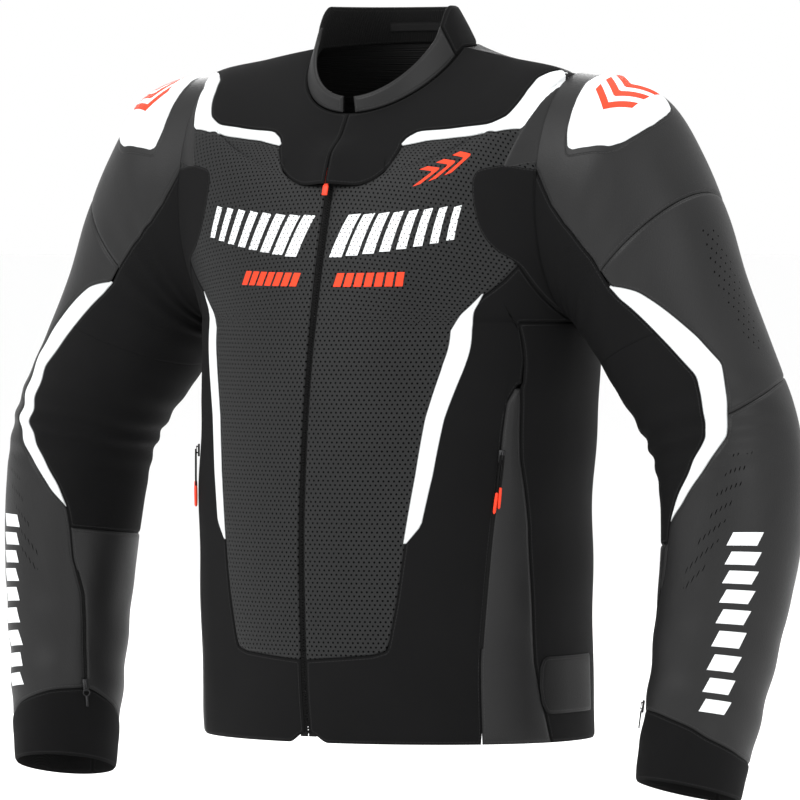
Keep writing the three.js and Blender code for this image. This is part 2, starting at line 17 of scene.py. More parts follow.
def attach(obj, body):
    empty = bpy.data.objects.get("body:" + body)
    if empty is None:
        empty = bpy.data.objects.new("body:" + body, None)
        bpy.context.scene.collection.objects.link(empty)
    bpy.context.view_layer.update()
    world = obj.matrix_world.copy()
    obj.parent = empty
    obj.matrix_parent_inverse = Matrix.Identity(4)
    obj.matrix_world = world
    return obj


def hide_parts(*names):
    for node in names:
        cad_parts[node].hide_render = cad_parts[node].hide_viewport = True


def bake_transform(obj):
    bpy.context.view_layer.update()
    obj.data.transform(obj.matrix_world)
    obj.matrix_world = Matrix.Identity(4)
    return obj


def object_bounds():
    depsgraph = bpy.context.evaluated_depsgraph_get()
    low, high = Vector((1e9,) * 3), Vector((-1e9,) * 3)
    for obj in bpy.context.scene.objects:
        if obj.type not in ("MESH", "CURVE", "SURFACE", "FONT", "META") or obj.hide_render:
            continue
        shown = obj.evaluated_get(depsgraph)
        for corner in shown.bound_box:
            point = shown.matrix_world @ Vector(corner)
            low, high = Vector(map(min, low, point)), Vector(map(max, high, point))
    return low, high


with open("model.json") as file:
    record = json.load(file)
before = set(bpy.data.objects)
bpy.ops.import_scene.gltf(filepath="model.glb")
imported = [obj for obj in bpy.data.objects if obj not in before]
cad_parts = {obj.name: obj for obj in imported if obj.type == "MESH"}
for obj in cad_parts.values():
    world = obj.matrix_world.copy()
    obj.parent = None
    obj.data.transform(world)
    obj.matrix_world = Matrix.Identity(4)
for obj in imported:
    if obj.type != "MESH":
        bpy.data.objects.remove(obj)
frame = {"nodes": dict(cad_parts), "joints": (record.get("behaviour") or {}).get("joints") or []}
cad_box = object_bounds()
bpy.ops.object.select_all(action="DESELECT")
MM = 0.001
SIDES = {"left": 1, "right": -1}
JOINTS = {joint["name"]: joint for joint in frame["joints"]}

# %% [markdown]
# ## The pattern's three surfaces
# A tailor drapes panels on a form. Here the form is three smooth surfaces in millimetres: the
# torso, given by rings from hem to neck, the collar, and a sleeve, given by rings from armhole to
# cuff. Smooth rows of numbers between the rings keep the silhouette flowing.

# %% Rings of the form
BODY_RINGS = np.array([
    # height at side, back, front drop, back drop, half width, front inset, drop power
    [-648, 146, 0, 0, 190, 0, 1.5],
    [-560, 146, 0, 0, 188, 0, 1.5],
    [-470, 147, 0, 0, 189, 0, 1.5],
    [-380, 148, 0, 0, 191, 0, 1.5],
    [-310, 148, 0, 0, 194, 0, 1.5],
    [-262, 146, 0, 0, 196.5, 0, 1.5],
    [-205, 139, 8, 2, 196.5, 0, 1.5],
    [-150, 128, 27, 8, 196.5, 0, 1.5],
    [-105, 115, 50, 15, 196.5, 0, 1.5],
    [-70, 100, 70, 25, 196.5, 0, 1.5],
    [-34, 80, 92, 28, 196.5, 0, 1.4],
    [-19, 70, 80, 12, 132, 3, 1.2],
    [-9, 61, 61, -7, 80, 10, 1.0],
], float)
SLEEVE_RINGS = np.array([
    # inner x, inner z, outer x, outer z, middle y, half depth, front lift
    [197.1, -262, 197.1, -34, 8, 80, 0],
    [199, -264, 240, -40, 9, 82, 0],
    [202, -267, 280, -58, 9, 83, 0],
    [206, -271, 311, -102, 10, 82, 0],
    [212, -278, 340, -160, 10, 80, 0],
    [224, -292, 361, -218, 9, 77, 0],
    [247, -325, 388, -278, 7, 74, 0],
    [277, -363, 413, -330, 4, 71, 0],
    [292, -392, 424, -368, 2, 69, 0],
    [298, -428, 429, -415, 0, 67, 2],
    [302, -480, 427, -474, -7, 64, 6],
    [303, -535, 419, -533, -17, 60, 8],
    [301, -600, 406, -602, -29, 55, 10],
    [299, -650, 397, -656, -40, 51, 12],
    [298, -682, 392, -690, -46, 49, 12],
], float)
CHEST_HALF = 196.5
ARMHOLE = {"top": -34.0, "bottom": -262.0, "half_depth": 80.0, "middle_y": 8.0}
FRONT_ARC = {"radius": 1250.0, "middle_z": -480.0, "y": -162.0}
NECK = len(BODY_RINGS) - 1
CUFF = len(SLEEVE_RINGS) - 1


def ring_row(rings, at):
    """The row between two rings, on a smooth curve through all of them."""
    i = np.clip(np.floor(at).astype(int), 0, len(rings) - 2)
    t = (at - i)[..., None]
    b, c = rings[i], rings[i + 1]
    a = np.where((i > 0)[..., None], rings[np.maximum(i - 1, 0)], 2 * b - c)
    last = np.minimum(i + 2, len(rings) - 1)
    d = np.where((i + 2 < len(rings))[..., None], rings[last], 2 * c - b)
    even = 2 * a - 5 * b + 4 * c - d
    odd = 3 * b - a - 3 * c + d
    row = 0.5 * (2 * b + (c - a) * t + even * t * t + odd * t ** 3)
    return np.moveaxis(row, -1, 0)


def ring_shape(v, front):
    """One half of a body ring: its middle, depth, half width and the turn left by the armhole."""
    z0, back, front_drop, back_drop, width, inset, power = ring_row(BODY_RINGS, v)
    rise = FRONT_ARC["radius"] ** 2 - (z0 - front_drop - FRONT_ARC["middle_z"]) ** 2
    front_y = FRONT_ARC["y"] + FRONT_ARC["radius"] - np.sqrt(rise) + inset
    middle, depth = (front_y + back) / 2, (back - front_y) / 2
    curve = 2.0 if front else 2.3
    hole_z = (ARMHOLE["top"] + ARMHOLE["bottom"]) / 2
    hole_r = (ARMHOLE["top"] - ARMHOLE["bottom"]) / 2
    half = ARMHOLE["half_depth"] * np.sqrt(np.clip(1 - ((z0 - hole_z) / hole_r) ** 2, 0, 1))
    edge_y = ARMHOLE["middle_y"] - half if front else ARMHOLE["middle_y"] + half
    reach = middle - edge_y if front else edge_y - middle
    cut = (z0 > ARMHOLE["bottom"]) & (z0 < ARMHOLE["top"]) & (reach > 0)
    share = 1 - np.clip(reach / depth, 0, 0.97) ** curve
    wide = np.where(cut, CHEST_HALF / share ** (1 / curve), np.minimum(width, CHEST_HALF))
    edge = np.where(cut, np.arcsin((CHEST_HALF / wide).clip(0, 1) ** (curve / 2)), math.pi / 2)
    return z0, middle, depth, wide, edge, curve, (front_drop if front else back_drop), power


def half_ring(g, v, front):
    """Half of a body ring: g runs from -90 at one side over 0 in the middle to 90."""
    z0, middle, depth, wide, edge, curve, drop, power = ring_shape(v, front)
    u = g / 90 * edge
    x = wide * np.sign(np.sin(u)) * np.abs(np.sin(u)) ** (2 / curve)
    y = middle + (-1 if front else 1) * depth * np.abs(np.cos(u)) ** (2 / curve)
    fall = np.maximum(np.cos(np.radians(g)), 0) ** power
    return np.stack([x, y, z0 - drop * fall], -1)


def torso(g, v):
    """A point of the torso: g 0 in front, 90 at the wearer's left, 180 behind."""
    g, v = np.broadcast_arrays(np.asarray(g, float), np.asarray(v, float))
    g = (g + 180) % 360 - 180
    front = half_ring(g, v, True)
    back = half_ring(np.where(g < 0, -1, 1) * (180 - np.abs(g)), v, False)
    return np.where((np.abs(g) <= 90)[..., None], front, back)


def smooth(x, low, high):
    t = np.clip((x - low) / (high - low), 0, 1)
    return t * t * (3 - 2 * t)


def collar(g, h):
    """The collar stands on the neck ring: h 0 at its seam, 1 at its top edge."""
    g, h = np.broadcast_arrays(np.asarray(g, float), np.asarray(h, float))
    base = torso(g, np.full(g.shape, float(NECK)))
    a = np.radians(g)
    turned = np.abs((g + 180) % 360 - 180)
    front = np.minimum(15 - 70 * np.cos(a), 30)
    z = front + (30 - front) * smooth(turned, 75, 100)
    top = np.stack([68 * np.sin(a), -20 - 64 * np.cos(a), z], -1)
    return base + (top - base) * h[..., None]


def sleeve(phi, s):
    """A point of the left sleeve: phi 0 outside, 90 in front, 180 inside."""
    phi, s = np.broadcast_arrays(np.asarray(phi, float), np.asarray(s, float))
    in_x, in_z, out_x, out_z, mid_y, depth, lift = ring_row(SLEEVE_RINGS, s)
    c, f = np.cos(np.radians(phi)), np.sin(np.radians(phi))
    x = (in_x + out_x) / 2 + (out_x - in_x) / 2 * c
    z = (in_z + out_z) / 2 + (out_z - in_z) / 2 * c + lift * f
    return np.stack([x, mid_y - depth * f, z], -1)


print("torso side", torso(90, 3.0).round(1), "cuff", sleeve(0, 14).round(1))

# %% [markdown]
# ## Folds
# Leather creases where it is squeezed: under the arm, in front of the elbow, and a little at the
# waist and wrist. Each fold is a height in millimetres over the form. Because the height depends
# only on the place, two neighbouring panels crease together and their seam stays closed.

# %% Fold heights
TURN = 2 * math.pi


def torso_folds(g, v):
    a = np.radians(g)
    turned = np.abs((g + 180) % 360 - 180)
    side = smooth(turned, 38, 70) * (1 - smooth(turned, 125, 165))
    waist = np.exp(-((v - 2.4) / 1.5) ** 2)
    height = 1.0 * side * waist * np.sin(TURN * (0.8 * v + 0.25 * np.sin(2 * a)))
    height = height + 0.7 * side * np.sin(TURN * 0.33 * v + 3 * a) * (1 - smooth(v, 4.5, 6.5))
    belly = (1 - smooth(v, 0.3, 4.0)) * (1 - smooth(turned, 20, 60))
    height = height + 0.5 * belly * np.sin(TURN * 0.55 * v + 2 * a)
    behind = smooth(turned, 100, 125)
    height = height + 0.8 * behind * np.sin(TURN * 0.4 * v + 1.5) * np.cos(2 * a)
    ribs = smooth(v, 6.95, 7.05) * (1 - smooth(v, 8.15, 8.25)) * smooth(turned, 97, 110)
    height = height + 1.1 * ribs * np.sin(TURN * (v - 6.9) * 5)
    return height * smooth(v, 0.0, 0.5)


def sleeve_folds(phi, s):
    a = np.radians(phi)
    inside = (0.5 - 0.5 * np.cos(a)) ** 2
    front = np.maximum(np.sin(a), 0)
    elbow = np.exp(-((s - 7.4) / 1.0) ** 2)
    height = 1.7 * elbow * np.maximum(front, inside) * np.sin(TURN * (s / 0.62 + 0.12 * np.sin(a)))
    upper = np.exp(-((s - 3.4) / 1.5) ** 2)
    height = height + 1.9 * upper * inside * np.sin(TURN * (s / 0.95 + 0.3 * np.sin(a)))
    wrist = np.exp(-((s - 11.9) / 1.1) ** 2)
    height = height + 0.9 * wrist * np.sin(TURN * (s / 0.8 + 0.2 * np.sin(a - 0.6)))
    height = height + 0.7 * np.sin(TURN * 0.21 * s + 2 * a) * np.sin(a * 3 + 0.7 * s)
    return height * smooth(s, 0.1, 0.9) * (1 - 0.6 * smooth(s, 13.2, 14))


# %% [markdown]
# ## Skins
# A skin is one surface in the pattern's own directions, its folds, and a ruler: how many
# millimetres a point lies from the skin's corner both ways. The ruler feeds the weave, the grain
# and the holes, so they follow the cloth even where the sleeve bends.

# %% The skin class
STEP = (0.5, 0.05)
ZIP_HALF = 7.0


class Skin:
    def __init__(self, place, folds=None, turn=None, span=((-5, 365), (0, 14.2))):
        self.place = place
        self.turn = turn or (lambda a, b: (a, b))
        self.folds = folds or (lambda a, b: np.zeros(np.shape(a)))
        (a0, a1), (b0, b1) = span
        self.a_line, self.b_line = np.linspace(a0, a1, 186), np.linspace(b0, b1, 143)
        grid = place(self.a_line[None, :], self.b_line[:, None])
        self.u = self._lengths(grid, 1, np.searchsorted(self.a_line, 0))
        self.w = self._lengths(grid, 0, 0)

    @staticmethod
    def _lengths(grid, axis, zero):
        steps = np.linalg.norm(np.diff(grid, axis=axis), axis=-1)
        pad = [(1, 0), (0, 0)] if axis == 0 else [(0, 0), (1, 0)]
        total = np.cumsum(np.pad(steps, pad), axis=axis)
        return total - (total[zero:zero + 1] if axis == 0 else total[:, zero:zero + 1])

    def ruler(self, a, b):
        a, b = self.turn(a, b)
        x = np.clip((a - self.a_line[0]) / (self.a_line[1] - self.a_line[0]), 0, 184.999)
        y = np.clip((b - self.b_line[0]) / (self.b_line[1] - self.b_line[0]), 0, 141.999)
        i, j = x.astype(int), y.astype(int)
        tx, ty = x - i, y - j
        out = []
        for table in (self.u, self.w):
            low = table[j, i] * (1 - tx) + table[j, i + 1] * tx
            high = table[j + 1, i] * (1 - tx) + table[j + 1, i + 1] * tx
            out.append(low * (1 - ty) + high * ty)
        return np.stack(out, -1)

    def points(self, a, b, lift):
        """Points at a height over the skin, folds included, and the outward directions."""
        a, b = self.turn(a, b)
        across = self.place(a + STEP[0], b) - self.place(a - STEP[0], b)
        along = self.place(a, b + STEP[1]) - self.place(a, b - STEP[1])
        normal = np.cross(across, along)
        normal /= np.maximum(np.linalg.norm(normal, axis=-1, keepdims=True), 1e-9)
        return self.place(a, b) + normal * (lift + self.folds(a, b))[..., None], normal


def seam(points, soft=0.0):
    """A seam line as a function, with its corners rounded over a little way."""
    x, y = np.array(points, float).T
    x = np.concatenate([[2 * x[0] - x[1]], x, [2 * x[-1] - x[-2]]])
    y = np.concatenate([[2 * y[0] - y[1]], y, [2 * y[-1] - y[-2]]])

    def at(value):
        value = np.asarray(value, float)
        if soft == 0:
            return np.interp(value, x, y)
        return sum(np.interp(value + soft * k, x, y) for k in (-1, -0.5, 0, 0.5, 1)) / 5
    return at


def past_zip(v):
    """The body angle that half the zip takes up at this height."""
    return ZIP_HALF / torso(1.0, v)[..., 0]

def from_zip(k, v):
    """An angle counted from the zip's edge, as an angle of the body."""
    return k + (1 - k / 90) * past_zip(v)


UNDERARM_EASE = (4.0, 6.0)


def eased(g, v):
    """Keeps the upright lines even where the armhole begins; the armhole's own line stays put."""
    g, v = np.broadcast_arrays(np.asarray(g, float), np.asarray(v, float))
    g = (g + 180) % 360 - 180
    low, high = UNDERARM_EASE
    t = np.clip((v - low) / (high - low), 0, 1)
    turns = []
    for front in (True, False):
        first, last, after = ring_shape(np.array([low, high, high + 0.02]), front)[4]
        slope = (after - last) / 0.02 * (high - low) / (last - first)
        even = first + (last - first) * (t * t * (3 - 2 * t) + slope * (t ** 3 - t ** 2))
        share = np.where(t < 1, even / ring_shape(v, front)[4], 1.0)
        k = np.abs(g) if front else 180 - np.abs(g)
        k = k * (share + (1 - share) * smooth(k, 45, 90))
        turns.append(np.sign(g) * (k if front else 180 - k))
    return np.where(np.abs(g) <= 90, *turns), v


def eased_front(k, v):
    return from_zip(eased(k, v)[0], v), v

ARM_SPAN = ((-95, 275), (-0.1, 14))
body = Skin(torso, torso_folds, eased)
front = Skin(torso, torso_folds, eased_front)
neck_band = Skin(collar, span=((-5, 365), (0, 1)))
arm = Skin(sleeve, sleeve_folds, span=ARM_SPAN)
print("chest round", round(float(body.u[71, -3]), 0), "mm")

# %% [markdown]
# ## Socket maths for the finishes
# A finish is a node material. Writing it as arithmetic keeps it readable: a wrapped socket can be
# added, multiplied and compared, and each operator adds one Math node behind the scenes.

# %% The socket class and the finish class


class Val:
    def __init__(self, finish, socket):
        self.finish, self.socket = finish, socket

    def __add__(self, other):
        return self.finish.math("ADD", self, other)

    def __sub__(self, other):
        return self.finish.math("SUBTRACT", self, other)

    def __rsub__(self, other):
        return self.finish.math("SUBTRACT", other, self)

    def __mul__(self, other):
        return self.finish.math("MULTIPLY", self, other)

    def __truediv__(self, other):
        return self.finish.math("DIVIDE", self, other)

    def __lt__(self, other):
        return self.finish.math("LESS_THAN", self, other)

    def __gt__(self, other):
        return self.finish.math("GREATER_THAN", self, other)


class Finish:
    def __init__(self, name, **constants):
        self.material = bpy.data.materials.new(name)
        self.material.use_nodes = True
        self.tree = self.material.node_tree
        self.shader = next(n for n in self.tree.nodes if n.type == "BSDF_PRINCIPLED")
        for socket, value in constants.items():
            self.shader.inputs[socket.replace("_", " ")].default_value = value

    def node(self, kind, settings=None, links=None, out=0):
        made = self.tree.nodes.new(kind)
        for key, value in (settings or {}).items():
            setattr(made, key, value)
        for key, value in (links or {}).items():
            if isinstance(value, Val):
                self.tree.links.new(value.socket, made.inputs[key])
            else:
                made.inputs[key].default_value = value
        return Val(self, made.outputs[out])

    def math(self, operation, a, b=0.0):
        return self.node("ShaderNodeMath", {"operation": operation}, {0: a, 1: b})

    def mix(self, share, a, b):
        return self.node("ShaderNodeMix", {"data_type": "RGBA"}, {0: share, 6: a, 7: b}, 2)

    def uv(self, name):
        return self.node("ShaderNodeUVMap", {"uv_map": name})

    def parts(self, vector):
        x = self.node("ShaderNodeSeparateXYZ", links={0: vector})
        return x, Val(self, x.socket.node.outputs[1])

    def noise(self, vector, scale, detail=3.0):
        return self.node("ShaderNodeTexNoise", {}, {"Vector": vector, "Scale": scale, "Detail": detail})

    def feed(self, **sockets):
        for socket, value in sockets.items():
            self.tree.links.new(value.socket, self.shader.inputs[socket.replace("_", " ")])
        return self.material

    def bump(self, height, distance, strength=1.0):
        return self.node("ShaderNodeBump", {}, {"Height": height, "Distance": distance, "Strength": strength})


# %% [markdown]
# ## Finishes for leather and cloth
# All panels share the same layers. The grain is small cells, the wear is soft noise, and the
# stitches come from the seam ruler: a row of dashes 2.6 mm from each edge, with a groove right at
# the seam that is darkened with painted shade and some dirt. Perforated leather adds a staggered
# lattice of small punched holes, painted near black: the dark backing and painted shade in each hole.

# %% Layers
STITCH = {"in": 2.6, "half": 0.3, "pitch": 3.4, "dash": 0.72}
VENT_HOLES = (8.5, 13.0, 0.95)    # spacing both ways, then the radius


def stitches(finish):
    edge, run = finish.parts(finish.uv("Seam"))
    offset = finish.math("ABSOLUTE", edge - STITCH["in"])
    row = offset < STITCH["half"]
    dash = finish.math("FRACT", run / STITCH["pitch"]) < STITCH["dash"]
    groove = finish.math("MAXIMUM", 1 - offset / 1.1, 0.0)
    # Painted shade, with some dirt: a mask that darkens the colour towards each seam, in the groove where the panel
    # edges roll down.
    seam_shade_and_dirt = finish.math("MAXIMUM", 1 - edge / 1.6, 0.0)
    return row * dash, groove, seam_shade_and_dirt


def lattice(finish, u, w, wide, high, radius):
    """1 inside punched holes on a staggered lattice, 0 on the leather between."""
    holes = None
    for shift in (0.0, 0.5):
        x = (finish.math("FRACT", u / wide + shift) - 0.5) * wide
        y = (finish.math("FRACT", w / high + shift) - 0.5) * high
        d = finish.math("SQRT", x * x + y * y)
        hole = finish.math("MINIMUM", finish.math("MAXIMUM", (radius + 0.12 - d) / 0.24, 0.0), 1.0)
        holes = hole if holes is None else finish.math("MAXIMUM", holes, hole)
    return holes


def hide(name, color, thread, holes=None, vents=False, grain=1.0, rough=0.5, **constants):
    """Leather: grain, wear, stitches and, if asked for, punched holes all over or in vents."""
    finish = Finish(name, **constants)
    place = finish.uv("Fit")
    u, w = finish.parts(place)
    cells = finish.node("ShaderNodeTexVoronoi", {}, {"Vector": place, "Scale": 0.85})
    wear = finish.noise(place, 0.018, 4.0)
    fine = finish.noise(place, 0.35, 3.0)
    deep = tuple(0.72 * c for c in color[:3]) + (1,)
    pale = tuple(min(1.0, 1.22 * c) for c in color[:3]) + (1,)
    shade = finish.mix(wear, deep, pale)
    height = cells * (0.12 * grain) + fine * 0.12
    if thread:
        thread_mask, groove, seam_shade_and_dirt = stitches(finish)
        # Painted shade, with some dirt: the leather goes near black towards each seam.
        shade = finish.mix(seam_shade_and_dirt * 0.75, shade, (0.003, 0.003, 0.003, 1))
        shade = finish.mix(thread_mask * 0.8, shade, thread)
        height = height - groove * 0.35 + thread_mask * 0.45
    if holes or vents:
        punched = lattice(finish, u, w, *(holes or VENT_HOLES))
        if vents:
            window = finish.node("ShaderNodeAttribute", {"attribute_name": "vent"}, out=2)
            punched = punched * (window > 0.5)
        # Painted shade: the holes are painted near black and lose their shine (metallic over the near-black colour),
        # standing for the dark backing seen through them and the shade in each hole.
        shade = finish.mix(punched, shade, (0.0015, 0.0015, 0.0015, 1))
        height = height - punched * 1.2
        finish.feed(Metallic=punched)
    roughness = wear * 0.22 + fine * 0.1 + (rough - 0.16)
    return finish.feed(Base_Color=shade, Roughness=roughness, Normal=finish.bump(height, 0.0006))


def cloth(name, color, ribs=1.2, depth=0.3, **constants):
    """Stretch cloth: a fine two-way rib, fluff noise, and the same stitches as the leather."""
    finish = Finish(name, **constants)
    place = finish.uv("Fit")
    u, w = finish.parts(place)
    warp = finish.math("SINE", u * (TURN / ribs))
    weft = finish.math("SINE", w * (TURN / ribs))
    weave = warp * weft
    fluff = finish.noise(place, 0.6, 3.0)
    wide = finish.noise(place, 0.015, 3.0)
    thread_mask, groove, seam_shade_and_dirt = stitches(finish)
    deep = tuple(0.62 * c for c in color[:3]) + (1,)
    pale = tuple(1.4 * c for c in color[:3]) + (1,)
    shade = finish.mix(wide * 0.7 + weave * 0.12 + 0.1, deep, pale)
    # Painted shade, with some dirt: the cloth goes near black towards each seam.
    shade = finish.mix(seam_shade_and_dirt * 0.8, shade, (0.002, 0.002, 0.002, 1))
    shade = finish.mix(thread_mask * 0.6, shade, (0.03, 0.03, 0.03, 1))
    height = weave * depth + fluff * 0.25 - groove * 0.3 + thread_mask * 0.4
    return finish.feed(Base_Color=shade, Roughness=fluff * 0.15 + 0.72, Normal=finish.bump(height, 0.0004))


DARK_THREAD = (0.028, 0.028, 0.028, 1)
black_leather = hide("black_leather", (0.0105, 0.0105, 0.0107, 1), DARK_THREAD, vents=True, rough=0.48,
                     Specular_IOR_Level=0.24)
holed_leather = hide("perforated_leather", (0.0112, 0.0116, 0.0118, 1), DARK_THREAD,
                     holes=(4.9, 7.8, 0.9), grain=0.7, rough=0.54, Specular_IOR_Level=0.2)
yoke_leather = hide("yoke_leather", (0.022, 0.022, 0.0222, 1), DARK_THREAD, rough=0.62, Specular_IOR_Level=0.04)
tab_leather = hide("tab_leather", (0.006, 0.006, 0.0061, 1), DARK_THREAD, rough=0.5, Specular_IOR_Level=0.14)
white_leather = hide("white_leather", (0.8, 0.83, 0.84, 1), (0.62, 0.64, 0.65, 1), grain=0.5, rough=0.42)
holed_white = hide("printed_white", (0.78, 0.8, 0.81, 1), None,
                   holes=(4.9, 7.8, 0.62), grain=0.4, rough=0.5)
plain_white = hide("printed_white_plain", (0.8, 0.82, 0.83, 1), None, grain=0.5, rough=0.5)
red_print = hide("printed_red", (0.84, 0.05, 0.014, 1), None, grain=0.5, rough=0.55,
                 Specular_IOR_Level=0.2)
stretch_cloth = cloth("stretch_cloth", (0.0035, 0.0035, 0.0037, 1), Specular_IOR_Level=0.12)
lining_cloth = cloth("lining_cloth", (0.006, 0.006, 0.006, 1), ribs=2.6, depth=0.9, Specular_IOR_Level=0.2)
tape_cloth = cloth("zip_tape_cloth", (0.006, 0.006, 0.006, 1), ribs=1.4, depth=0.8, Specular_IOR_Level=0.25)
armour_foam = hide("armour_foam", (0.012, 0.012, 0.013, 1), None, holes=(14.0, 24.0, 3.2), grain=0.3, rough=0.7,
                   Specular_IOR_Level=0.15)
print("finishes:", len(bpy.data.materials))

# %% [markdown]
# ## Sewing one panel
# A panel is a grid of points between two seams, with extra rows close to its edges. At each
# edge the leather rolls down towards the seam, so neighbours meet in a soft groove. The same
# grid again, one thickness deeper, is the inside, and a rim joins the two into a closed piece.

# %% The panel maker
EDGE_ROWS = np.array([0.0, 0.8, 1.9, 3.4])
THICK = 2.0
ROLL = {"deep": 1.25, "wide": 1.5}
GRID = 3.8


def spaced(lengths, step):
    """Shares from 0 to 1 along lines of these lengths, denser at both ends."""
    count = max(int(round((lengths.max() - 2 * EDGE_ROWS[-1]) / step)), 1)
    shrink = np.minimum(lengths / (3.2 * EDGE_ROWS[-1]), 1.0)[:, None]
    rim = EDGE_ROWS[None, :] * shrink
    inner = rim[:, -1:] + (lengths[:, None] - 2 * rim[:, -1:]) * (np.arange(1, count) / count)
    return np.concatenate([rim, inner, lengths[:, None] - rim[:, ::-1]], 1) / lengths[:, None]


def edge_ruler(points, flush):
    """How far each grid point lies from the panel's outline, and where along it."""
    rows, cols = points.shape[:2]
    sides = ["start"] * (cols - 1) + ["high"] * (rows - 1) + ["end"] * (cols - 1) + ["low"] * (rows - 1)
    loop = np.concatenate([points[0], points[1:, -1], points[-1, -2::-1], points[-2:0:-1, 0]])
    ends = np.roll(loop, -1, axis=0)
    gaps = np.linalg.norm(ends - loop, axis=1)
    starts = np.concatenate([[0], np.cumsum(gaps)[:-1]])
    dots, runs = [], []
    for a, b, gap, start, side in zip(loop, ends, gaps, starts, sides):
        if side in flush:
            continue
        n = max(int(gap / 1.1), 1)
        share = np.arange(n)[:, None] / n
        dots.append(a + (b - a) * share)
        runs.append(start + gap * share[:, 0])
    dots, runs = np.concatenate(dots), np.concatenate(runs)
    tree = kdtree.KDTree(len(dots))
    for i, dot in enumerate(dots):
        tree.insert(dot, i)
    tree.balance()
    found = [tree.find(p)[1:] for p in points.reshape(-1, 3)]
    edge = np.array([f[1] for f in found]).reshape(points.shape[:2])
    run = runs[[f[0] for f in found]].reshape(points.shape[:2])
    return edge, run


def build_mesh(name, points, faces, uv=None, inside=None, vent=None):
    """A mesh object from points in millimetres and four-sided faces."""
    mesh = bpy.data.meshes.new(name)
    mesh.vertices.add(len(points))
    mesh.vertices.foreach_set("co", (points * MM).astype(np.float32).ravel())
    mesh.loops.add(faces.size)
    mesh.loops.foreach_set("vertex_index", faces.astype(np.int32).ravel())
    mesh.polygons.add(len(faces))
    mesh.polygons.foreach_set("loop_start", np.arange(len(faces), dtype=np.int32) * faces.shape[1])
    mesh.polygons.foreach_set("use_smooth", np.ones(len(faces), bool))
    if inside is not None:
        mesh.polygons.foreach_set("material_index", inside.astype(np.int32))
    for key, values in (uv or {}).items():
        layer = mesh.uv_layers.new(name=key)
        layer.data.foreach_set("uv", values[faces.ravel()].astype(np.float32).ravel())
    if vent is not None:
        mesh.attributes.new("vent", "FLOAT", "POINT").data.foreach_set("value", vent.astype(np.float32))
    mesh.update(calc_edges=True)
    mesh.validate()
    piece = bpy.data.objects.new(name, mesh)
    bpy.context.scene.collection.objects.link(piece)
    return piece


def panel(name, skin, stops, low, high, finish, columns=False, lift=0.0, thick=THICK, step=GRID,
          roll=1.0, puff=0.35, sides=("left", "right"), backing=None, vent=None, flush=()):
    """One panel, or its left and right copies; low and high are its two seams."""
    trial = np.linspace(stops[0], stops[-1], 60)
    middle = (low(trial) + high(trial)) / 2

    def at(fixed, along):
        return (fixed, along) if columns else (along, fixed)

    ends = [skin.points(*at(trial, edge(trial)), np.zeros(60))[0] for edge in (low, high)]
    reach = np.linalg.norm(ends[1] - ends[0], axis=1)
    centre = skin.points(*at(trial, middle), np.zeros(60))[0]
    walked = np.linalg.norm(np.diff(centre, axis=0), axis=1).sum()
    fixed = stops[0] + (stops[-1] - stops[0]) * spaced(np.array([walked]), step)[0]
    lo, hi = low(fixed), np.maximum(high(fixed), low(fixed) + 1e-5)
    arcs = np.linspace(0, 1, 25)
    lines = skin.points(*at(fixed[:, None] + 0 * arcs, lo[:, None] + (hi - lo)[:, None] * arcs),
                        np.zeros((len(fixed), 25)))[0]
    lengths = np.linalg.norm(np.diff(lines, axis=1), axis=-1).sum(1)
    share = spaced(np.maximum(lengths, 0.02 * reach.max() + 0.3), step)
    along = lo[:, None] + (hi - lo)[:, None] * share
    a, b = at(np.broadcast_to(fixed[:, None], along.shape), along)
    raised = lift(a, b) if callable(lift) else np.full(a.shape, float(lift))
    flat, _ = skin.points(a, b, raised)
    edge, run = edge_ruler(flat, flush)
    dip = ROLL["deep"] * roll * np.exp(-(edge / ROLL["wide"]) ** 2)
    swell = puff * (1 - np.exp(-edge / 8))
    outer, _ = skin.points(a, b, raised - dip + swell)
    inner, _ = skin.points(a, b, raised - thick + dip * 0.3)
    rows, cols = a.shape
    index = np.arange(rows * cols).reshape(rows, cols)
    quads = np.stack([index[:-1, :-1], index[:-1, 1:], index[1:, 1:], index[1:, :-1]], -1).reshape(-1, 4)
    if columns:
        quads = quads[:, ::-1]
    ring = np.concatenate([index[0], index[1:, -1], index[-1, -2::-1], index[-2:0:-1, 0]])
    if columns:
        ring = ring[::-1]
    after = np.roll(ring, -1)
    half = rows * cols
    rim = np.stack([after, ring, ring + half, after + half], -1)
    faces = np.concatenate([quads, quads[:, ::-1] + half, rim])
    inside = np.concatenate([np.zeros(len(quads)), np.ones(len(quads)), np.zeros(len(rim))])
    points = np.concatenate([outer.reshape(-1, 3), inner.reshape(-1, 3)])
    fit = skin.ruler(a, b).reshape(-1, 2)
    uv = {"Fit": np.tile(fit, (2, 1)), "Seam": np.tile(np.stack([edge.ravel(), run.ravel()], -1), (2, 1))}
    vents = None if vent is None else np.tile(vent(a, b).ravel(), 2)
    made = {}
    for side in sides:
        mirror = side == "right"
        label = f"{name}_{side}" if len(sides) == 2 else name
        placed = points * ([-1, 1, 1] if mirror else [1, 1, 1])
        piece = build_mesh(label, placed, faces[:, ::-1] if mirror else faces, uv, inside, vents)
        piece.data.materials.append(finish)
        piece.data.materials.append(backing or lining_cloth)
        made[side] = piece
    return made


# %% [markdown]
# ## How a piece follows the wearer
# The body panels ride on the jacket. A sleeve twists where it leaves the armhole and folds at
# the elbow; the sleeve pieces placed at the shoulder and the elbow are baked in place where they
# are made and do not ride on any body.

# %% Riding helpers
SHOULDER_BAND = 37 * MM
ELBOW_BAND = 27 * MM
JOINT_GAP = 0.6 * MM

def riding(piece, body_name, node=None):
    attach(piece, body_name)
    if node:
        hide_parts(node)

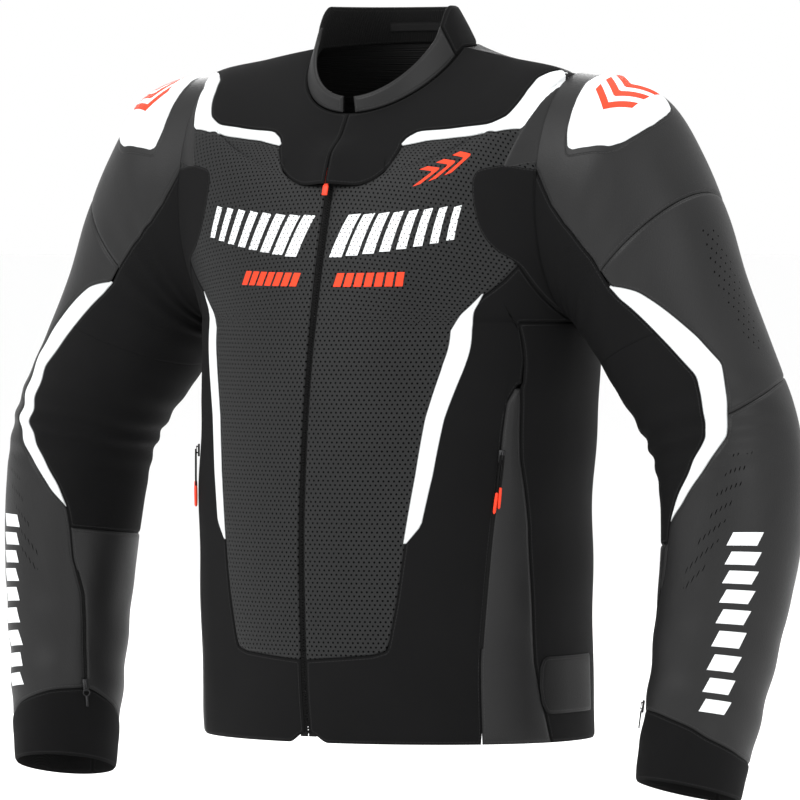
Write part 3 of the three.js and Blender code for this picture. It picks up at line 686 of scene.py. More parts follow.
def on_jacket(pieces, node=None):
    for side, piece in pieces.items():
        riding(piece, "jacket_body", f"{node}_{side}" if node and len(pieces) == 2 else node)

def on_body(pieces, body_name, node=None):
    for side, piece in pieces.items():
        riding(piece, f"{body_name}_{side}", node and f"{node}_{side}")

def blended(pieces, band, node):
    """Bakes each side's piece in place and hides its frame part; the band's two ends are made but not used."""
    for side, piece in pieces.items():
        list(band(side))
        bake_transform(piece)
        if node:
            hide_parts(f"{node}_{side}")

def shoulder_band(side):
    start = Vector(JOINTS[f"shoulder_{side}"]["pos_m"])
    start.x += JOINT_GAP * SIDES[side]
    return start, start + Vector((SHOULDER_BAND * SIDES[side], 0, 0))

def elbow_band(side):
    joint = JOINTS[f"elbow_{side}"]
    axis, centre = Vector(joint["axis"]), Vector(joint["pos_m"])
    down = Vector((-axis.z, 0, axis.x)).normalized() * ELBOW_BAND
    return centre - down, centre + down

def at_shoulder(pieces, node=None):
    blended(pieces, shoulder_band, node)

def at_elbow(pieces, node=None):
    blended(pieces, elbow_band, node)

# %% [markdown]
# ## Seam lines of the body
# Each seam is a short list of places on the form. The chest seam, for example, starts at the hem
# corner, climbs beside the white side stripe, and ends in a tongue under the arm.

# %% Body seams
def level(value):
    return lambda x: np.full(np.shape(x), float(value))


CHEST_EDGE = [(0, 0.87), (20, 0.93), (24.6, 0.98), (27.8, 1.5), (30, 2.05), (33, 2.75), (35, 3.4),
              (39, 4.2), (45, 4.85), (50, 5.15), (60, 5.45), (70, 5.68), (79, 5.93)]
chest_low = seam(CHEST_EDGE + [(80, 7.0), (90, 7.2)], 0.5)
chest_top = seam([(0, 9.3), (9, 9.1), (14, 9.3), (16.5, 10.15), (23, 10.6), (32, 10.47), (39, 10.22),
                  (50, 9.7), (63, 9.1), (78, 8.72), (90, 8.5)], 0.6)
stripe_top = seam([(23, 10.66), (27, 10.8), (32, 10.84), (35, 10.76), (39, 10.6), (45, 10.37), (50, 10.12),
                   (56, 10.05), (63, 10.17), (70, 10.28), (78, 10.34), (84, 10.27), (90, 10.15)], 0.8)
belly_top = seam(CHEST_EDGE + [(84, 5.5), (90, 5.06)], 0.5)
belly_low = seam([(0, 0), (52.5, 0), (53.5, 0.83), (56.5, 1.83), (57.5, 2.23), (59.5, 2.9), (60.5, 3.6),
                  (64, 3.85), (66, 3.87), (66.4, 5.0), (90, 5.0)])
stripe_in = seam([(2.05, 29.5), (2.75, 32.6), (3.4, 34.6), (4.2, 38.8), (4.85, 43.8), (5.15, 49.6), (5.5, 60.0)],
                 0.03)
stripe_out = seam([(2.05, 30.0), (2.25, 35), (2.75, 38), (3.4, 40.5), (4.2, 46), (4.88, 51.3), (5.2, 54.6),
                   (5.5, 60.6)], 0.03)
pocket_front = seam([(0, 52.5), (0.83, 53.5), (1.83, 56.5), (2.23, 57.5), (2.9, 59.5), (3.6, 60.5), (3.85, 64)])
pocket_back = seam([(0, 80), (0.83, 74.5), (1.83, 72.5), (2.23, 71.5), (2.9, 67.3), (3.6, 66), (3.85, 65.2)])
armpit_low = seam([(59, 7.7), (59.8, 7.3), (61, 6.95), (63, 6.6), (66, 6.35), (70, 6.16), (79, 5.92), (84, 5.5),
                   (90, 5.03)], 0.3)
armpit_top = seam([(59, 7.75), (59.8, 7.93), (61, 8.0), (72, 7.9), (84, 7.68), (90, 7.62)], 0.3)
SIDE_BACK = 130
UNDERARM = 66


def notch(k):
    """The hem rises a little beside the zip, in a rounded corner."""
    return 0.1 * (1 - smooth(k, -1.2, 4.5))


ZIP_EDGE = -1.25
on_jacket(panel("chest_panel", front, (ZIP_EDGE, 90), chest_low, chest_top, holed_leather, flush=("end",),
                columns=True), "chest_panel")
on_jacket(panel("yoke_stripe", front, (23.4, 90), lambda k: chest_top(k) + 0.015, stripe_top, white_leather,
                flush=("end",), columns=True, lift=0.25), "yoke_stripe")
on_jacket(panel("side_stripe", front, (2.07, 5.49), stripe_in, stripe_out, white_leather, lift=1.0, thick=1.2,
                roll=0.6), "side_stripe")
on_jacket(panel("belly_panel", front, (ZIP_EDGE, 90), lambda k: belly_low(k) + notch(k), belly_top,
                stretch_cloth, flush=("end",), columns=True), "belly_panel")
on_jacket(panel("pocket_panel", body, (0, 3.8), lambda v: from_zip(pocket_front(v), v),
                lambda v: from_zip(pocket_back(v), v), black_leather, puff=0.9), "pocket_panel")
on_jacket(panel("side_panel", body, (0, 5), lambda v: from_zip(np.where(v < 3.85, pocket_back(v), UNDERARM), v),
                level(SIDE_BACK), stretch_cloth), "side_panel")
on_jacket(panel("armpit_panel", front, (59.1, 90), armpit_low, armpit_top, stretch_cloth, flush=("end",),
                columns=True, lift=0.8), "armpit_panel")

cap_line = seam([(7.6, 71.5), (7.9, 72.5), (8.78, 77.5), (9.53, 81), (9.88, 85.5), (10.2, 89)], 0.05)
on_jacket(panel("cap_front", front, (7.7, 10.2), cap_line, level(90), black_leather, lift=0.55,
                flush=("high",)))

# %% [markdown]
# ## The yoke and its zip garage
# At the top the yoke covers the zip: its two halves meet on the centre line and end in a V. The
# closed slider sits behind it, so the flap swells over the slider and only the tip of the red
# pull shows below its edge.

# %% Yoke
GARAGE = {"rise": 9.2, "wide": 21.0, "top": 11.4, "full": 10.5}
PAST_AT_YOKE = float(past_zip(9.6))


def garage(g, v):
    x = body.points(g, v, np.zeros(np.shape(g)))[0][..., 0]
    bulge = GARAGE["rise"] * np.exp(-(x / GARAGE["wide"]) ** 2)
    return bulge * (1 - smooth(v, GARAGE["full"], GARAGE["top"]))


def yoke_low(g):
    k = (g - PAST_AT_YOKE) / (1 - PAST_AT_YOKE / 90)
    dip = 0.06 * (1 - smooth(k, -3, 10))
    return np.where(k < 23.2, chest_top(np.maximum(k, 0)) - dip, stripe_top(k))


on_jacket(panel("neck_yoke", body, (0.12, 90), yoke_low, level(NECK), stretch_cloth, flush=("end",), columns=True,
                lift=garage), "neck_yoke")

# %% [markdown]
# ## The back
# A leather back panel reaches up to a ribbed stretch band across the shoulder blades, with the
# leather yoke above it. One seam function each is enough, because the back has no stripes.

# %% Back panels
def behind(half):
    return (lambda v: 180 - half(v)), (lambda v: 180 + half(v))


wide_back = behind(lambda v: np.where(v > 5.02, 90.0, 180.0 - SIDE_BACK))
full_back = behind(level(90))
on_jacket(panel("back_panel", body, (0, 6.9), *wide_back, black_leather, sides=("left",)), "back_panel")
on_jacket(panel("back_stretch", body, (6.9, 8.3), *full_back, stretch_cloth, sides=("left",), step=3.0,
                flush=("low", "high")), "back_stretch")
on_jacket(panel("back_yoke", body, (8.3, NECK), *full_back, yoke_leather, sides=("left",),
                flush=("low", "high")), "back_yoke")

# %% [markdown]
# ## The collar
# Two leather fronts and a cloth back stand on the neck seam. The collar is thicker than a panel
# and its top edge is rounded, so it gets its own thickness and a deeper roll.

# %% Collar
COLLAR_THICK = 4.0
on_jacket(panel("collar_front", neck_band, (5, 82), level(0.005), level(1), black_leather, columns=True,
                thick=COLLAR_THICK, step=2.6, puff=0.8), "collar_front")
on_jacket(panel("collar_back", neck_band, (82, 278), level(0.005), level(1), stretch_cloth, columns=True,
                thick=COLLAR_THICK, step=3.0, puff=0.8, sides=("left",)), "collar_back")

# %% [markdown]
# ## The sleeves
# Each sleeve is cut like the body: a leather cap, a leather outer panel, a white stripe, and
# stretch cloth inside. The inner cloth is cut in two at the split line. Below it, a leather
# gusset runs down to the cuff zip.

# %% Sleeve seams and panels
BACK_SEAM = -88
CAP_SEAM = 3.7
SPLIT = 5.5
INNER_END = 9.75
WRIST_EDGE = [(9.4, 119), (9.8, 124), (10.3, 128), (10.9, 139), (11.7, 143), (12.6, 146)]
inner_edge = seam([(0, 78), (0.35, 85), (0.8, 92), (1.6, 98), (2.4, 99), (3.7, 95), (4.2, 94), (4.6, 90),
                   (5.15, 81), (5.75, 71), (6.35, 62), (7.03, 69), (7.62, 73), (8.2, 89), (8.6, 99),
                   (8.95, 109)] + WRIST_EDGE, 0.06)
outer_edge = seam([(3.6, 95), (4.2, 92.5), (4.7, 76), (5.3, 61), (5.75, 50), (6.25, 41), (6.6, 45),
                   (7.08, 51), (7.7, 57), (8.4, 80), (8.8, 94), (9.1, 104)] + WRIST_EDGE, 0.05)
elbow_seam = seam([(-90, 6.35), (-60, 6.4), (0, 6.73), (50, 7.15), (95, 7.3)], 6)
cuff_seam = seam([(-90, 13.05), (0, 12.95), (48, 12.75), (64, 12.62), (110, 12.4), (150, 12.3), (272, 13.05)], 6)
back_edge = level(360 + BACK_SEAM)


def between(first, last):
    """Sleeve directions in which t runs from 0 on one cross seam to 1 on the next."""
    return lambda phi, t: (phi, first(phi) + (last(phi) - first(phi)) * t)


def crossing(turn, edge):
    """An edge given against s, as a function of t instead."""
    def at(t):
        phi = np.full(np.shape(t), 100.0)
        for _ in range(25):
            phi = edge(turn(phi, t)[1])
        return phi
    return at


to_elbow = between(level(CAP_SEAM), elbow_seam)
to_cuff = between(elbow_seam, cuff_seam)
inner_run = between(level(SPLIT), level(INNER_END))
gusset_run = between(level(INNER_END), cuff_seam)
cuff_run = between(cuff_seam, level(CUFF))
above_elbow = Skin(sleeve, sleeve_folds, to_elbow, ARM_SPAN)
below_elbow = Skin(sleeve, sleeve_folds, to_cuff, ARM_SPAN)
inner_arm = Skin(sleeve, sleeve_folds, inner_run, ARM_SPAN)
gusset = Skin(sleeve, sleeve_folds, gusset_run, ARM_SPAN)
cuff_skin = Skin(sleeve, sleeve_folds, cuff_run, ARM_SPAN)


def upper_vent(phi, t):
    s = to_elbow(phi, t)[1]
    centre = 9 - 5 * (s - 5.2)
    return (np.abs(phi - centre) < 12 - 6 * np.abs(s - 5.2)) & (np.abs(s - 5.2) < 0.95)


def fore_vent(phi, t):
    s = to_cuff(phi, t)[1]
    return (np.abs(phi - 46 - (s - 8.1) * 19) < 8) & (np.abs(s - 9.35) < 1.2)


ROOT = -0.012
at_shoulder(panel("shoulder_cap", arm, (ROOT, CAP_SEAM), level(BACK_SEAM), inner_edge, black_leather, puff=0.5,
                  flush=("start",)), "shoulder_cap")
at_shoulder(panel("upper_inner", arm, (ROOT, SPLIT), inner_edge, back_edge, stretch_cloth,
                  flush=("start", "end")), "upper_inner")
at_elbow(panel("inner_arm", inner_arm, (0, 1), crossing(inner_run, inner_edge), back_edge, stretch_cloth,
               flush=("start",)), "forearm_inner")
at_elbow(panel("cuff_gusset", gusset, (0, 1), crossing(gusset_run, inner_edge), back_edge, black_leather))
at_elbow(panel("upper_panel", above_elbow, (0, 1), level(BACK_SEAM), crossing(to_elbow, outer_edge), black_leather,
               puff=0.5, vent=upper_vent), "upper_panel")
forearms = panel("forearm_panel", below_elbow, (0, 1), level(BACK_SEAM), crossing(to_cuff, outer_edge),
                 black_leather, puff=0.5, vent=fore_vent)
at_elbow(forearms, "forearm_panel")
for side, piece in forearms.items():
    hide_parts(f"elbow_fold_{side}")
stripes = panel("arm_stripe", arm, (4.17, 9.38), outer_edge, inner_edge, white_leather, lift=0.3)
at_elbow(stripes, "upper_stripe")
for side, piece in stripes.items():
    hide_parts(f"forearm_stripe_{side}")
on_body(panel("cuff", cuff_skin, (0, 1), level(BACK_SEAM), back_edge, stretch_cloth, puff=0.8),
        "forearm", "cuff")

# %% [markdown]
# ## Shoulder plates
# A hard white plate shields each shoulder. It is a raised, rounded shape over a slightly larger
# black rim, so the same panel maker is used twice, at two heights.

# %% Plates
plate_low = seam([(0.55, 20), (0.62, 6), (0.75, -3), (1.2, -7), (2.0, -7), (2.3, -3), (2.42, 8), (2.46, 20)], 0.03)
plate_high = seam([(0.55, 22), (0.62, 38), (0.75, 56), (0.95, 64), (1.15, 64.5), (1.6, 60), (2.1, 53),
                   (2.32, 45), (2.42, 34), (2.46, 22)], 0.03)


def plate_swell(phi, t):
    edge = np.minimum(np.minimum(phi - plate_low(t), plate_high(t) - phi) * 1.4, np.minimum(t - 0.55, 2.46 - t) * 42)
    return 2.0 + 1.6 * smooth(edge, 0, 14)


at_shoulder(panel("plate_rim", arm, (0.48, 2.54), lambda t: plate_low(0.55 + (t - 0.48) * 0.927) - 4.5,
                  lambda t: plate_high(0.55 + (t - 0.48) * 0.927) + 4.5, black_leather, lift=0.9, thick=1.6))
at_shoulder(panel("shoulder_plate", arm, (0.55, 2.46), plate_low, plate_high, white_leather, lift=plate_swell,
                  thick=2.6, step=3.0, puff=0.0), "shoulder_plate")

# %% [markdown]
# ## Armour and lining
# Soft armour sits in pockets behind the shell at the shoulders, elbows and back, and a mesh
# lining hangs inside the body. The pads are padded pieces, and the lining is one sheet of cloth.

# %% Pads and lining
def pad(name, skin, stops, low, high, sides=("left", "right")):
    return panel(name, skin, stops, level(low), level(high), armour_foam, lift=-4.5, thick=7.6, step=4.5,
                 roll=2.0, puff=0.4, sides=sides, backing=armour_foam)


shoulder_pads = pad("shoulder_armour", arm, (1.1, 3.4), -55, 60)
elbow_pads = pad("elbow_armour", arm, (8.2, 10.2), -75, 30)
back_pads = pad("back_armour", body, (2.6, 7.6), 155, 205, ("left",))
at_shoulder(shoulder_pads, "shoulder_pad")
at_elbow(elbow_pads, "elbow_pad")
on_jacket(back_pads, "back_pad")
LINING = {"from": 0.15, "to": 4.85, "depth": 14.3}
lining = panel("torso_lining_sheet", body, (LINING["from"], LINING["to"]), level(6), level(354), lining_cloth,
               lift=-LINING["depth"], thick=0.9, step=7.0, roll=0.0, puff=0.0, sides=("left",))
on_jacket(lining, "torso_lining")
outline = body.points(np.linspace(6, 354, 400), np.full(400, 2.5), np.full(400, -LINING["depth"]))[0]
lining_width = float(np.linalg.norm(np.diff(outline, axis=0), axis=1).sum())
column = body.points(np.full(60, 90.0), np.linspace(LINING["from"], LINING["to"], 60), np.full(60, -LINING["depth"]))[0]
lining_height = float(np.linalg.norm(np.diff(column, axis=0), axis=1).sum())
print("lining", round(lining_width), "x", round(lining_height), "mm")

# %% [markdown]
# ## Prints
# The chest and sleeves carry plain printed shapes: slanted bars, a line of red dashes and open
# chevrons. A print is a skin-thin panel just above the leather, and the chest bars are punched
# like the leather under them. All the shapes of one print are joined into one piece.

# %% Prints
PRINT = {"thick": 0.35, "lift": 0.5, "step": 3.2}
ARM_PRINT_LIFT = 0.95


def joined(name, pieces):
    bpy.ops.object.select_all(action="DESELECT")
    for piece in pieces:
        piece.select_set(True)
    bpy.context.view_layer.objects.active = pieces[0]
    if len(pieces) > 1:
        bpy.ops.object.join()
    pieces[0].name = pieces[0].data.name = name
    bpy.ops.object.select_all(action="DESELECT")
    return pieces[0]


def bar(skin, stops, low, high, finish, side, lift=PRINT["lift"]):
    return panel("bar", skin, stops, low, high, finish, lift=lift, thick=PRINT["thick"], step=PRINT["step"],
                 roll=0.0, puff=0.0, sides=(side,), backing=finish)[side]


def slanted(start, width, lean, foot):
    return (lambda v: start + lean * (v - foot)), (lambda v: start + width + lean * (v - foot))


def chevron(start, width, reach, middle, half):
    def low(v):
        return start + reach * (1 - np.abs(v - middle) / half)
    return low, lambda v: low(v) + width


for side in SIDES:
    lean = 5.0 if side == "left" else -5.0
    bars = [bar(front, (6.25 + 0.03 * i, 7.5 - 0.05 * i), *slanted(4.5 + 6.7 * i, 5.2 - 0.28 * i, lean, 6.85),
                holed_white, side) for i in range(8)]
    riding(joined(f"chest_bars_{side}", bars), "jacket_body")
    dashes = [bar(front, (5.64, 5.9), *slanted(5 + 3.9 * i, 2.9, lean, 5.77), red_print, side) for i in range(7)]
    riding(joined(f"chest_dashes_{side}", dashes), "jacket_body")
    marks = [bar(arm, (0.95, 1.95), *chevron(start, 5.5, 11, 1.45, 0.5), red_print, side,
                 lambda phi, t: plate_swell(phi, t) + PRINT["thick"]) for start in (0, 11, 22)]
    at_shoulder({side: joined(f"plate_marks_{side}", marks)})
    first = 34 if side == "left" else 47
    rungs = [bar(arm, (9.62 + 0.31 * i, 9.83 + 0.31 * i), *slanted(first, 25, 22, 9.72 + 0.31 * i),
                 plain_white, side, ARM_PRINT_LIFT) for i in range(9)]
    on_body({side: joined(f"forearm_bars_{side}", rungs)}, "forearm")
badge = [bar(front, (8.2, 9.0), *chevron(start, 3.2, 7, 8.6, 0.4), red_print, "left") for start in (33, 39.5, 46)]
riding(joined("chest_chevrons", badge), "jacket_body")

# %% [markdown]
# ## Hard finishes
# Painted metal and moulded rubber are plainer than leather, but never perfectly even: soft noise
# varies their shine, and a trace of it roughens the surface.

# %% Metal and rubber


def moulded(name, color, rough, grain=0.25, scale=900.0, **constants):
    finish = Finish(name, **constants)
    place = finish.node("ShaderNodeTexCoord", out=3)
    speckle = finish.noise(place, scale, 2.0)
    worn = finish.noise(place, scale / 12, 3.0)
    deep, pale = (tuple(k * c for c in color[:3]) + (1,) for k in (0.75, 1.2))
    return finish.feed(Base_Color=finish.mix(worn, deep, pale), Roughness=worn * 0.2 + (rough - 0.1),
                       Normal=finish.bump(speckle, 0.0002, grain))


black_metal = moulded("black_metal", (0.02, 0.02, 0.021, 1), 0.34, Metallic=0.6)
black_plastic = moulded("black_plastic", (0.005, 0.005, 0.005, 1), 0.42, Specular_IOR_Level=0.06)
red_rubber = moulded("red_rubber", (0.84, 0.045, 0.012, 1), 0.45, 0.4, Specular_IOR_Level=0.3)

# %% [markdown]
# ## The front zip
# A zip is two tapes with teeth on their facing edges. One tooth is modelled as a bevelled block,
# with its tip narrowed to a hook, and copied along the arc of the front, one side half a step
# behind the other.

# %% Model a block by hand
def block(size, at=(0, 0, 0), bevel=0.3, segments=2, taper=None):
    """A bevelled block in millimetres; taper narrows its lower end in X."""
    bpy.ops.mesh.primitive_cube_add(size=1, location=[c * MM for c in at])
    made = bpy.context.active_object
    bpy.ops.object.mode_set(mode="EDIT")
    bpy.ops.mesh.select_all(action="SELECT")
    bpy.ops.transform.resize(value=[c * MM for c in size], center_override=[c * MM for c in at])
    if taper:
        bpy.ops.object.mode_set(mode="OBJECT")
        for vertex in made.data.vertices:
            if vertex.co.y < 0:
                vertex.co.x *= taper
        bpy.ops.object.mode_set(mode="EDIT")
        bpy.ops.mesh.select_all(action="SELECT")
    bpy.ops.mesh.bevel(offset=bevel * MM, segments=segments, affect="EDGES")
    bpy.ops.object.mode_set(mode="OBJECT")
    made.data.transform(Matrix.Translation(made.location))
    made.location = (0, 0, 0)
    return made


def ring(major, minor, at):
    bpy.ops.mesh.primitive_torus_add(major_radius=major * MM, minor_radius=minor * MM, major_segments=28,
                                     minor_segments=10)
    made = bpy.context.active_object
    made.data.transform(Matrix.Translation([c * MM for c in at]))
    return made

def place_on(piece, spot, up, out):
    """Turn a piece modelled flat (Y up, Z out) onto the jacket, with its place in its mesh."""
    up, out = Vector(up).normalized(), Vector(out).normalized()
    out = (out - up * out.dot(up)).normalized()
    across = up.cross(out)
    turn = Matrix((across, up, out)).transposed().to_4x4()
    piece.data.transform(Matrix.Translation(Vector(spot) * MM) @ turn)
    bpy.ops.object.select_all(action="DESELECT")
    return piece


def dressed(piece, finish, smooth_angle=40):
    piece.data.materials.clear()
    piece.data.materials.append(finish)
    bpy.ops.object.select_all(action="DESELECT")
    piece.select_set(True)
    bpy.context.view_layer.objects.active = piece
    bpy.ops.object.shade_smooth_by_angle(angle=math.radians(smooth_angle))
    bpy.ops.object.select_all(action="DESELECT")
    return piece


def mirrored(piece, name):
    other = piece.copy()
    other.data = piece.data.copy()
    other.name = other.data.name = name
    bpy.context.scene.collection.objects.link(other)
    other.data.transform(Matrix.Diagonal((-1, 1, 1, 1)))
    other.data.flip_normals()
    return other

def from_faces(name, points, faces):
    """A mesh object from points in metres and a list of faces."""
    mesh = bpy.data.meshes.new(name)
    mesh.from_pydata(points.tolist(), [], faces)
    piece = bpy.data.objects.new(name, mesh)
    bpy.context.scene.collection.objects.link(piece)
    return piece


# %% Tapes and teeth
ZIP = {"low": 0.08, "high": 9.25, "pitch": 2.5, "depth": 2.4, "near": 0.6, "far": 8.6}

def tape_edge(reach):
    """A tape edge this many millimetres from the centre line, as an angle of the body."""
    return lambda v: reach / torso(1.0, v)[..., 0]

on_jacket(panel("zip_tape", body, (0.06, 11.8), tape_edge(ZIP["near"]), tape_edge(ZIP["far"]), tape_cloth,
                lift=-ZIP["depth"], thick=0.8, roll=0.0, puff=0.0), "zip_tape")
levels = np.linspace(ZIP["low"], ZIP["high"], 900)
arc, _ = body.points(np.zeros(900), levels, np.full(900, -ZIP["depth"]))
walked = np.concatenate([[0], np.cumsum(np.linalg.norm(np.diff(arc, axis=0), axis=1))])


def zip_teeth(name, side):
    tooth = block((3.2, 1.3, 1.7), bevel=0.22, segments=1)
    shape = np.array([v.co for v in tooth.data.vertices])
    shape[:, 1] *= 1 - 0.3 * (np.sign(shape[:, 0] * side) < 0)
    faces = [list(f.vertices) for f in tooth.data.polygons]
    bpy.data.objects.remove(tooth)
    points, polygons = [], []
    for at in np.arange(1.0 + (side < 0) * ZIP["pitch"] / 2, walked[-1] - 1, ZIP["pitch"]):
        i = min(int(np.searchsorted(walked, at)), 898)
        up = arc[i + 1] - arc[i - 1]
        up /= np.linalg.norm(up)
        out = np.cross([1.0, 0, 0], up)
        base = len(points) * len(shape)
        spot = arc[i] + np.array([1.15 * side, 0, 0]) + out * 0.3
        points.append(shape @ np.array([[1, 0, 0], up, out]) + spot * MM)
        polygons.extend([[base + k for k in f] for f in faces])
    piece = from_faces(name, np.concatenate(points), polygons)
    piece.data.materials.append(black_plastic)
    riding(piece, "jacket_body")
    return piece


for side, sign in SIDES.items():
    print(side, "teeth faces:", len(zip_teeth(f"zip_teeth_{side}", sign).data.polygons))

# %% [markdown]
# ## Slider and pull
# The slider is a tapered body with a bridge over it. Its pull is a soft red tag that hangs from
# the bridge by a small ring. Both follow the frame's own slider and pull.

# %% Main slider and pull
slider_spot = torso(0.0, 9.93)
slope = math.asin((slider_spot[2] - FRONT_ARC["middle_z"]) / FRONT_ARC["radius"])
zip_up, zip_out = Vector((0, math.sin(slope), math.cos(slope))), Vector((0, -math.cos(slope), math.sin(slope)))


def over(spot, up, out, along, height):
    return Vector(spot) + Vector(up) * along + Vector(out) * height


SLIDER_LIFT = 0.15
PULL_HEIGHT = 5.4
slider = joined("zip_slider_body", [block(*shape) for shape in (
    ((9.6, 14.4, 2.2), (0, 0, 1.3), 0.6, 3, 0.72), ((2.6, 9.5, 0.9), (0, 0.5, 3.5)),
    ((2.6, 1.6, 2.4), (0, 4.4, 2.6)), ((2.6, 1.6, 2.4), (0, -3.4, 2.6)))])
place_on(slider, over(slider_spot, zip_up, zip_out, 0, SLIDER_LIFT), zip_up, zip_out)
dressed(slider, black_metal)
riding(slider, "main_slider", "zip_slider")
tag = joined("zip_pull_tag", [block((4.2, 15, 1.2), (0, -4.5, 0), 0.5, 3),
                              block((5.8, 9.5, 2.0), (0, -16, 0), 0.8, 4), ring(2.0, 0.45, (0, 3.4, 0))])
place_on(tag, over(slider_spot, zip_up, zip_out, 0, SLIDER_LIFT + PULL_HEIGHT), zip_up, zip_out)
dressed(tag, red_rubber)
riding(tag, "main_pull", "zip_pull")

# %% [markdown]
# ## Pocket zips
# Each pocket closes with a thin coil zip in its front seam, ended by a small slider with two
# short cords. A cord is a limp tube that hangs along the seam, with a moulded red end.

# %% Coil, slider and cords
def tube(name, path, radii, finish, sides=12):
    """A closed round tube along a path in millimetres, with a radius at each point."""
    path, radii = np.array(path, float), np.broadcast_to(np.asarray(radii, float), len(path))
    heading = np.gradient(path, axis=0)
    heading /= np.linalg.norm(heading, axis=1, keepdims=True)
    first = np.cross(heading, [0.31, 0.9, 0.2])
    first /= np.linalg.norm(first, axis=1, keepdims=True)
    second = np.cross(heading, first)
    turn = np.arange(sides) / sides * TURN
    circle = first[:, None] * np.cos(turn)[:, None] + second[:, None] * np.sin(turn)[:, None]
    points = (path[:, None] + circle * radii[:, None, None]).reshape(-1, 3)
    points = np.concatenate([points, path[:1], path[-1:]])
    faces, n = [], len(path)
    for i in range(n - 1):
        for k in range(sides):
            a, b = i * sides + k, i * sides + (k + 1) % sides
            faces.append((a, b, b + sides, a + sides))
    for k in range(sides):
        m = (k + 1) % sides
        faces.append((n * sides, m, k))
        faces.append((n * sides + 1, (n - 1) * sides + k, (n - 1) * sides + m))
    return dressed(from_faces(name, points * MM, faces), finish, 60)


def seam_slide(skin, edge, top, bottom):
    """Where a seam's slider starts, the way it travels and which way is out."""
    spots = skin.place(*skin.turn(edge(np.array([top, bottom])), np.array([top, bottom])))
    middle = np.array([(top + bottom) / 2])
    _, out = skin.points(edge(middle), middle, np.zeros(1))
    travel = Vector(spots[1] - spots[0]).normalized()
    return Vector(spots[0]), travel, Vector(out[0])


POCKET = {"top": 2.95, "middle": 1.95, "bottom": 1.0, "half": 0.9, "lift": 0.85}
COIL = {"lift": 0.5, "thick": 1.4, "step": 2.5, "roll": 0.8}
coil_finish = cloth("coil_zip", (0.003, 0.003, 0.003, 1), ribs=2.0, depth=1.6, Specular_IOR_Level=0.2)

def beside(edge, half):
    """The two long edges of a narrow band along a seam."""
    return (lambda v: edge(v) - half), (lambda v: edge(v) + half)

on_jacket(panel("pocket_coil", front, (POCKET["bottom"], POCKET["top"] + 0.05),
                *beside(pocket_front, POCKET["half"]), coil_finish, **COIL))
spot, travel, out = seam_slide(front, pocket_front, POCKET["top"], POCKET["middle"])
up = -travel
small = joined("pocket_slider_body_left", [block(*shape) for shape in (
    ((6.6, 11.5, 1.8), (0, 0, 0.9), 0.5, 3, 0.75), ((1.8, 7.0, 0.7), (0, 0.5, 3.1), 0.2),
    ((1.8, 1.3, 2.0), (0, 3.4, 2.2), 0.2), ((1.8, 1.3, 2.0), (0, -2.4, 2.2), 0.2))])
place_on(small, over(spot, up, out, 0, POCKET["lift"]), up, out)
dressed(small, black_metal)
on_body({"left": small, "right": mirrored(small, "pocket_slider_body_right")}, "pocket_zip",
        "pocket_slider")
CORD = {"lengths": (36.0, 31.0), "radius": 0.9, "height": 4.5, "end": 18.0, "spread": 0.6}
for side, sign in SIDES.items():
    for number, lean, drop in zip((1, 2), (-1.0, 1.0), CORD["lengths"]):
        steps = np.linspace(0, 1, 24)
        across = up.cross(out)
        path = [over(spot, travel, out, -1 + drop * t, CORD["height"])
                + across * lean * (1.15 + CORD["spread"] * t + 0.25 * math.sin(5 * t)) for t in steps]
        path = [Vector((p.x * sign, p.y, p.z)) for p in path]
        cord = tube(f"pocket_cord_{number}_{side}", path, CORD["radius"], black_plastic)
        last, way = path[-1], (path[-1] - path[-2]).normalized()
        stretch = np.linspace(-2.0, CORD["end"], 14)
        width = [1.35 + 0.25 * math.sin(math.pi * (k / 13)) - 0.7 * (k in (0, 13)) for k in range(14)]
        grip = tube(f"cord_end_{number}_{side}", [last + way * d for d in stretch], width, red_rubber)
        riding(cord, f"pocket_cord_{side}", f"pocket_pull_{side}" if number == 1 else None)
        riding(grip, f"pocket_cord_{side}")
        length = sum((b - a).length for a, b in zip(path, path[1:]))
        path[0] * MM
        [p * MM for p in path]

# %% [markdown]
# ## Cuff zips, waist tabs and the label
# The cuff zip runs up the gusset seam and its slider carries a metal ring. The waist tab is a
# stitched strap on the side, and a plain woven label sits inside the collar.

# %% Cuff zip
on_body(panel("cuff_coil", arm, (10.5, 12.35), *beside(inner_edge, 2.2), coil_finish, **COIL), "forearm")
corners = np.array([v.co for v in frame["nodes"]["cuff_slider_left"].data.vertices]) / MM
cuff_centre = (corners.min(0) + corners.max(0)) / 2
_, cuff_travel, cuff_out = seam_slide(arm, inner_edge, 12.3, 10.6)
ringed = joined("cuff_slider_body_left", [block(*shape) for shape in (
    ((6.4, 11.5, 1.8), (0, 6, -0.6), 0.5, 3, 0.75), ((1.8, 7.0, 0.7), (0, 6.5, 1.4), 0.2),
    ((1.8, 1.3, 2.0), (0, 9.4, 0.6), 0.2), ((1.8, 1.3, 2.0), (0, 3.6, 0.6), 0.2))]
    + [ring(3.2, 0.55, (0, -1.2, 0.8)), block((2.6, 10, 1.2), (0, -9.2, 0.8), 0.4, 3)])
place_on(ringed, cuff_centre, cuff_travel, cuff_out)
dressed(ringed, black_metal)
on_body({"left": ringed, "right": mirrored(ringed, "cuff_slider_body_right")}, "cuff_zip",
        "cuff_slider")

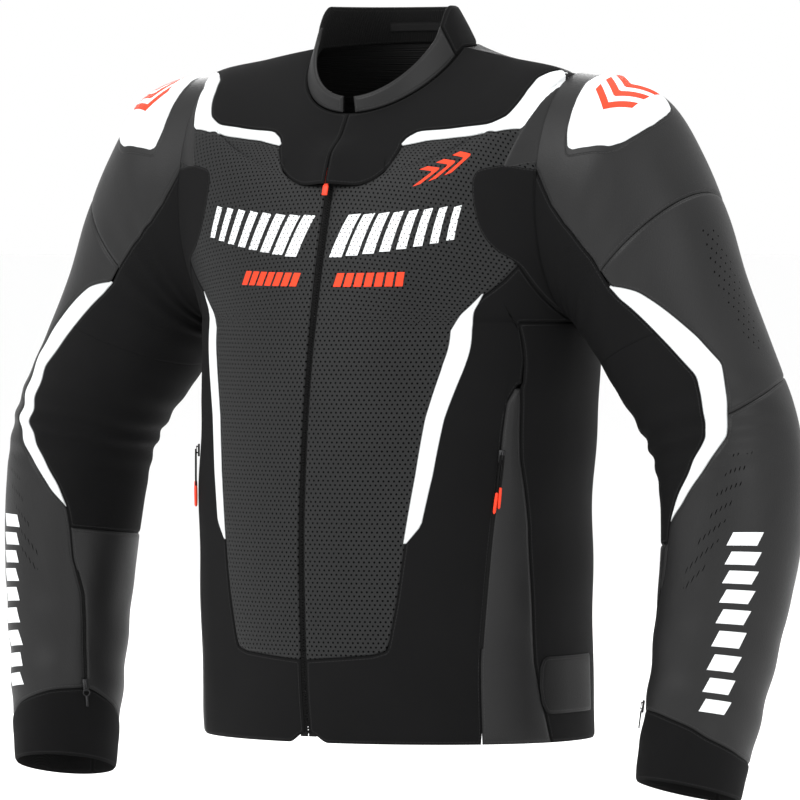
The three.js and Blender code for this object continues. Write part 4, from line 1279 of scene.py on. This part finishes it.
# %% Waist tab and label
tab_low = seam([(76, 0.6), (76.6, 0.42), (78, 0.33), (80, 0.3), (106, 0.3)])
tab_high = seam([(76, 0.6), (76.6, 0.78), (78, 0.87), (80, 0.9), (106, 0.9)])
on_body(panel("waist_tab", body, (76, 106), tab_low, tab_high, tab_leather, columns=True, lift=2.3, thick=1.9,
              step=3.0), "waist_strap", "waist_tab")
label_cloth = cloth("label_cloth", (0.02, 0.02, 0.02, 1), ribs=0.8, depth=0.3, Specular_IOR_Level=0.15)
on_jacket(panel("collar_label", neck_band, (150, 208), level(0.35), level(0.62), lining_cloth, columns=True,
                lift=-4.3, thick=0.5, roll=0.0, puff=0.0, sides=("left",), backing=label_cloth))

# %% [markdown]
# ## Stage, light and camera
# A wide white floor under a white sky gives an even background. Four large soft lamps shape the
# black leather, and the camera looks level at the jacket from its front left through a long lens.

# %% Stage
CAMERA = {"azimuth": 33.0, "elevation": 1.5, "distance": 8.5, "lens": 411.0, "aside": 0.0028,
          "height": -0.3367}
FLOOR = {"radius": 200, "below": 0.03}

def aim(thing, spot, target):
    thing.location = spot
    thing.rotation_euler = (Vector(target) - Vector(spot)).to_track_quat("-Z", "Y").to_euler()


bpy.ops.mesh.primitive_circle_add(vertices=96, radius=FLOOR["radius"], fill_type="NGON",
                                  location=(0, 0, cad_box[0][2] - FLOOR["below"]))
floor = bpy.context.active_object
floor.name = "floor"
floor_finish = Finish("pale_floor", Base_Color=(0.99, 0.99, 0.99, 1), Roughness=0.7, Specular_IOR_Level=0.2)
floor.data.materials.append(floor_finish.material)

world = bpy.data.worlds.new("studio")
bpy.context.scene.world = world
world.use_nodes = True
sky = world.node_tree.nodes["Background"]
sky.inputs["Color"].default_value = (1, 1, 1, 1)
sky.inputs["Strength"].default_value = 1.0
for name, spot, size, power in (
        ("key", (-1.6, -3.6, 2.6), 2.2, 110), ("fill", (3.8, -2.2, 1.2), 2.4, 55),
        ("top", (0.3, 0.6, 3.4), 2.6, 70), ("rim", (-2.4, 3.0, 1.6), 1.8, 60)):
    lamp = bpy.data.lights.new(name, "AREA")
    lamp.size, lamp.energy = size, power
    holder = bpy.data.objects.new(name, lamp)
    bpy.context.scene.collection.objects.link(holder)
    aim(holder, spot, (0, 0, -0.3))

turned, raised = math.radians(CAMERA["azimuth"]), math.radians(CAMERA["elevation"])
toward = Vector((math.sin(turned) * math.cos(raised), -math.cos(turned) * math.cos(raised), math.sin(raised)))
camera = bpy.data.objects.new("camera", bpy.data.cameras.new("camera"))
bpy.context.scene.collection.objects.link(camera)
camera.data.lens = CAMERA["lens"]
camera.data.clip_end = 60
target = Vector((CAMERA["aside"] * math.cos(turned), CAMERA["aside"] * math.sin(turned), CAMERA["height"]))
aim(camera, target + toward * CAMERA["distance"], target)
bpy.context.scene.camera = camera
bpy.context.scene.view_settings.view_transform = "Standard"
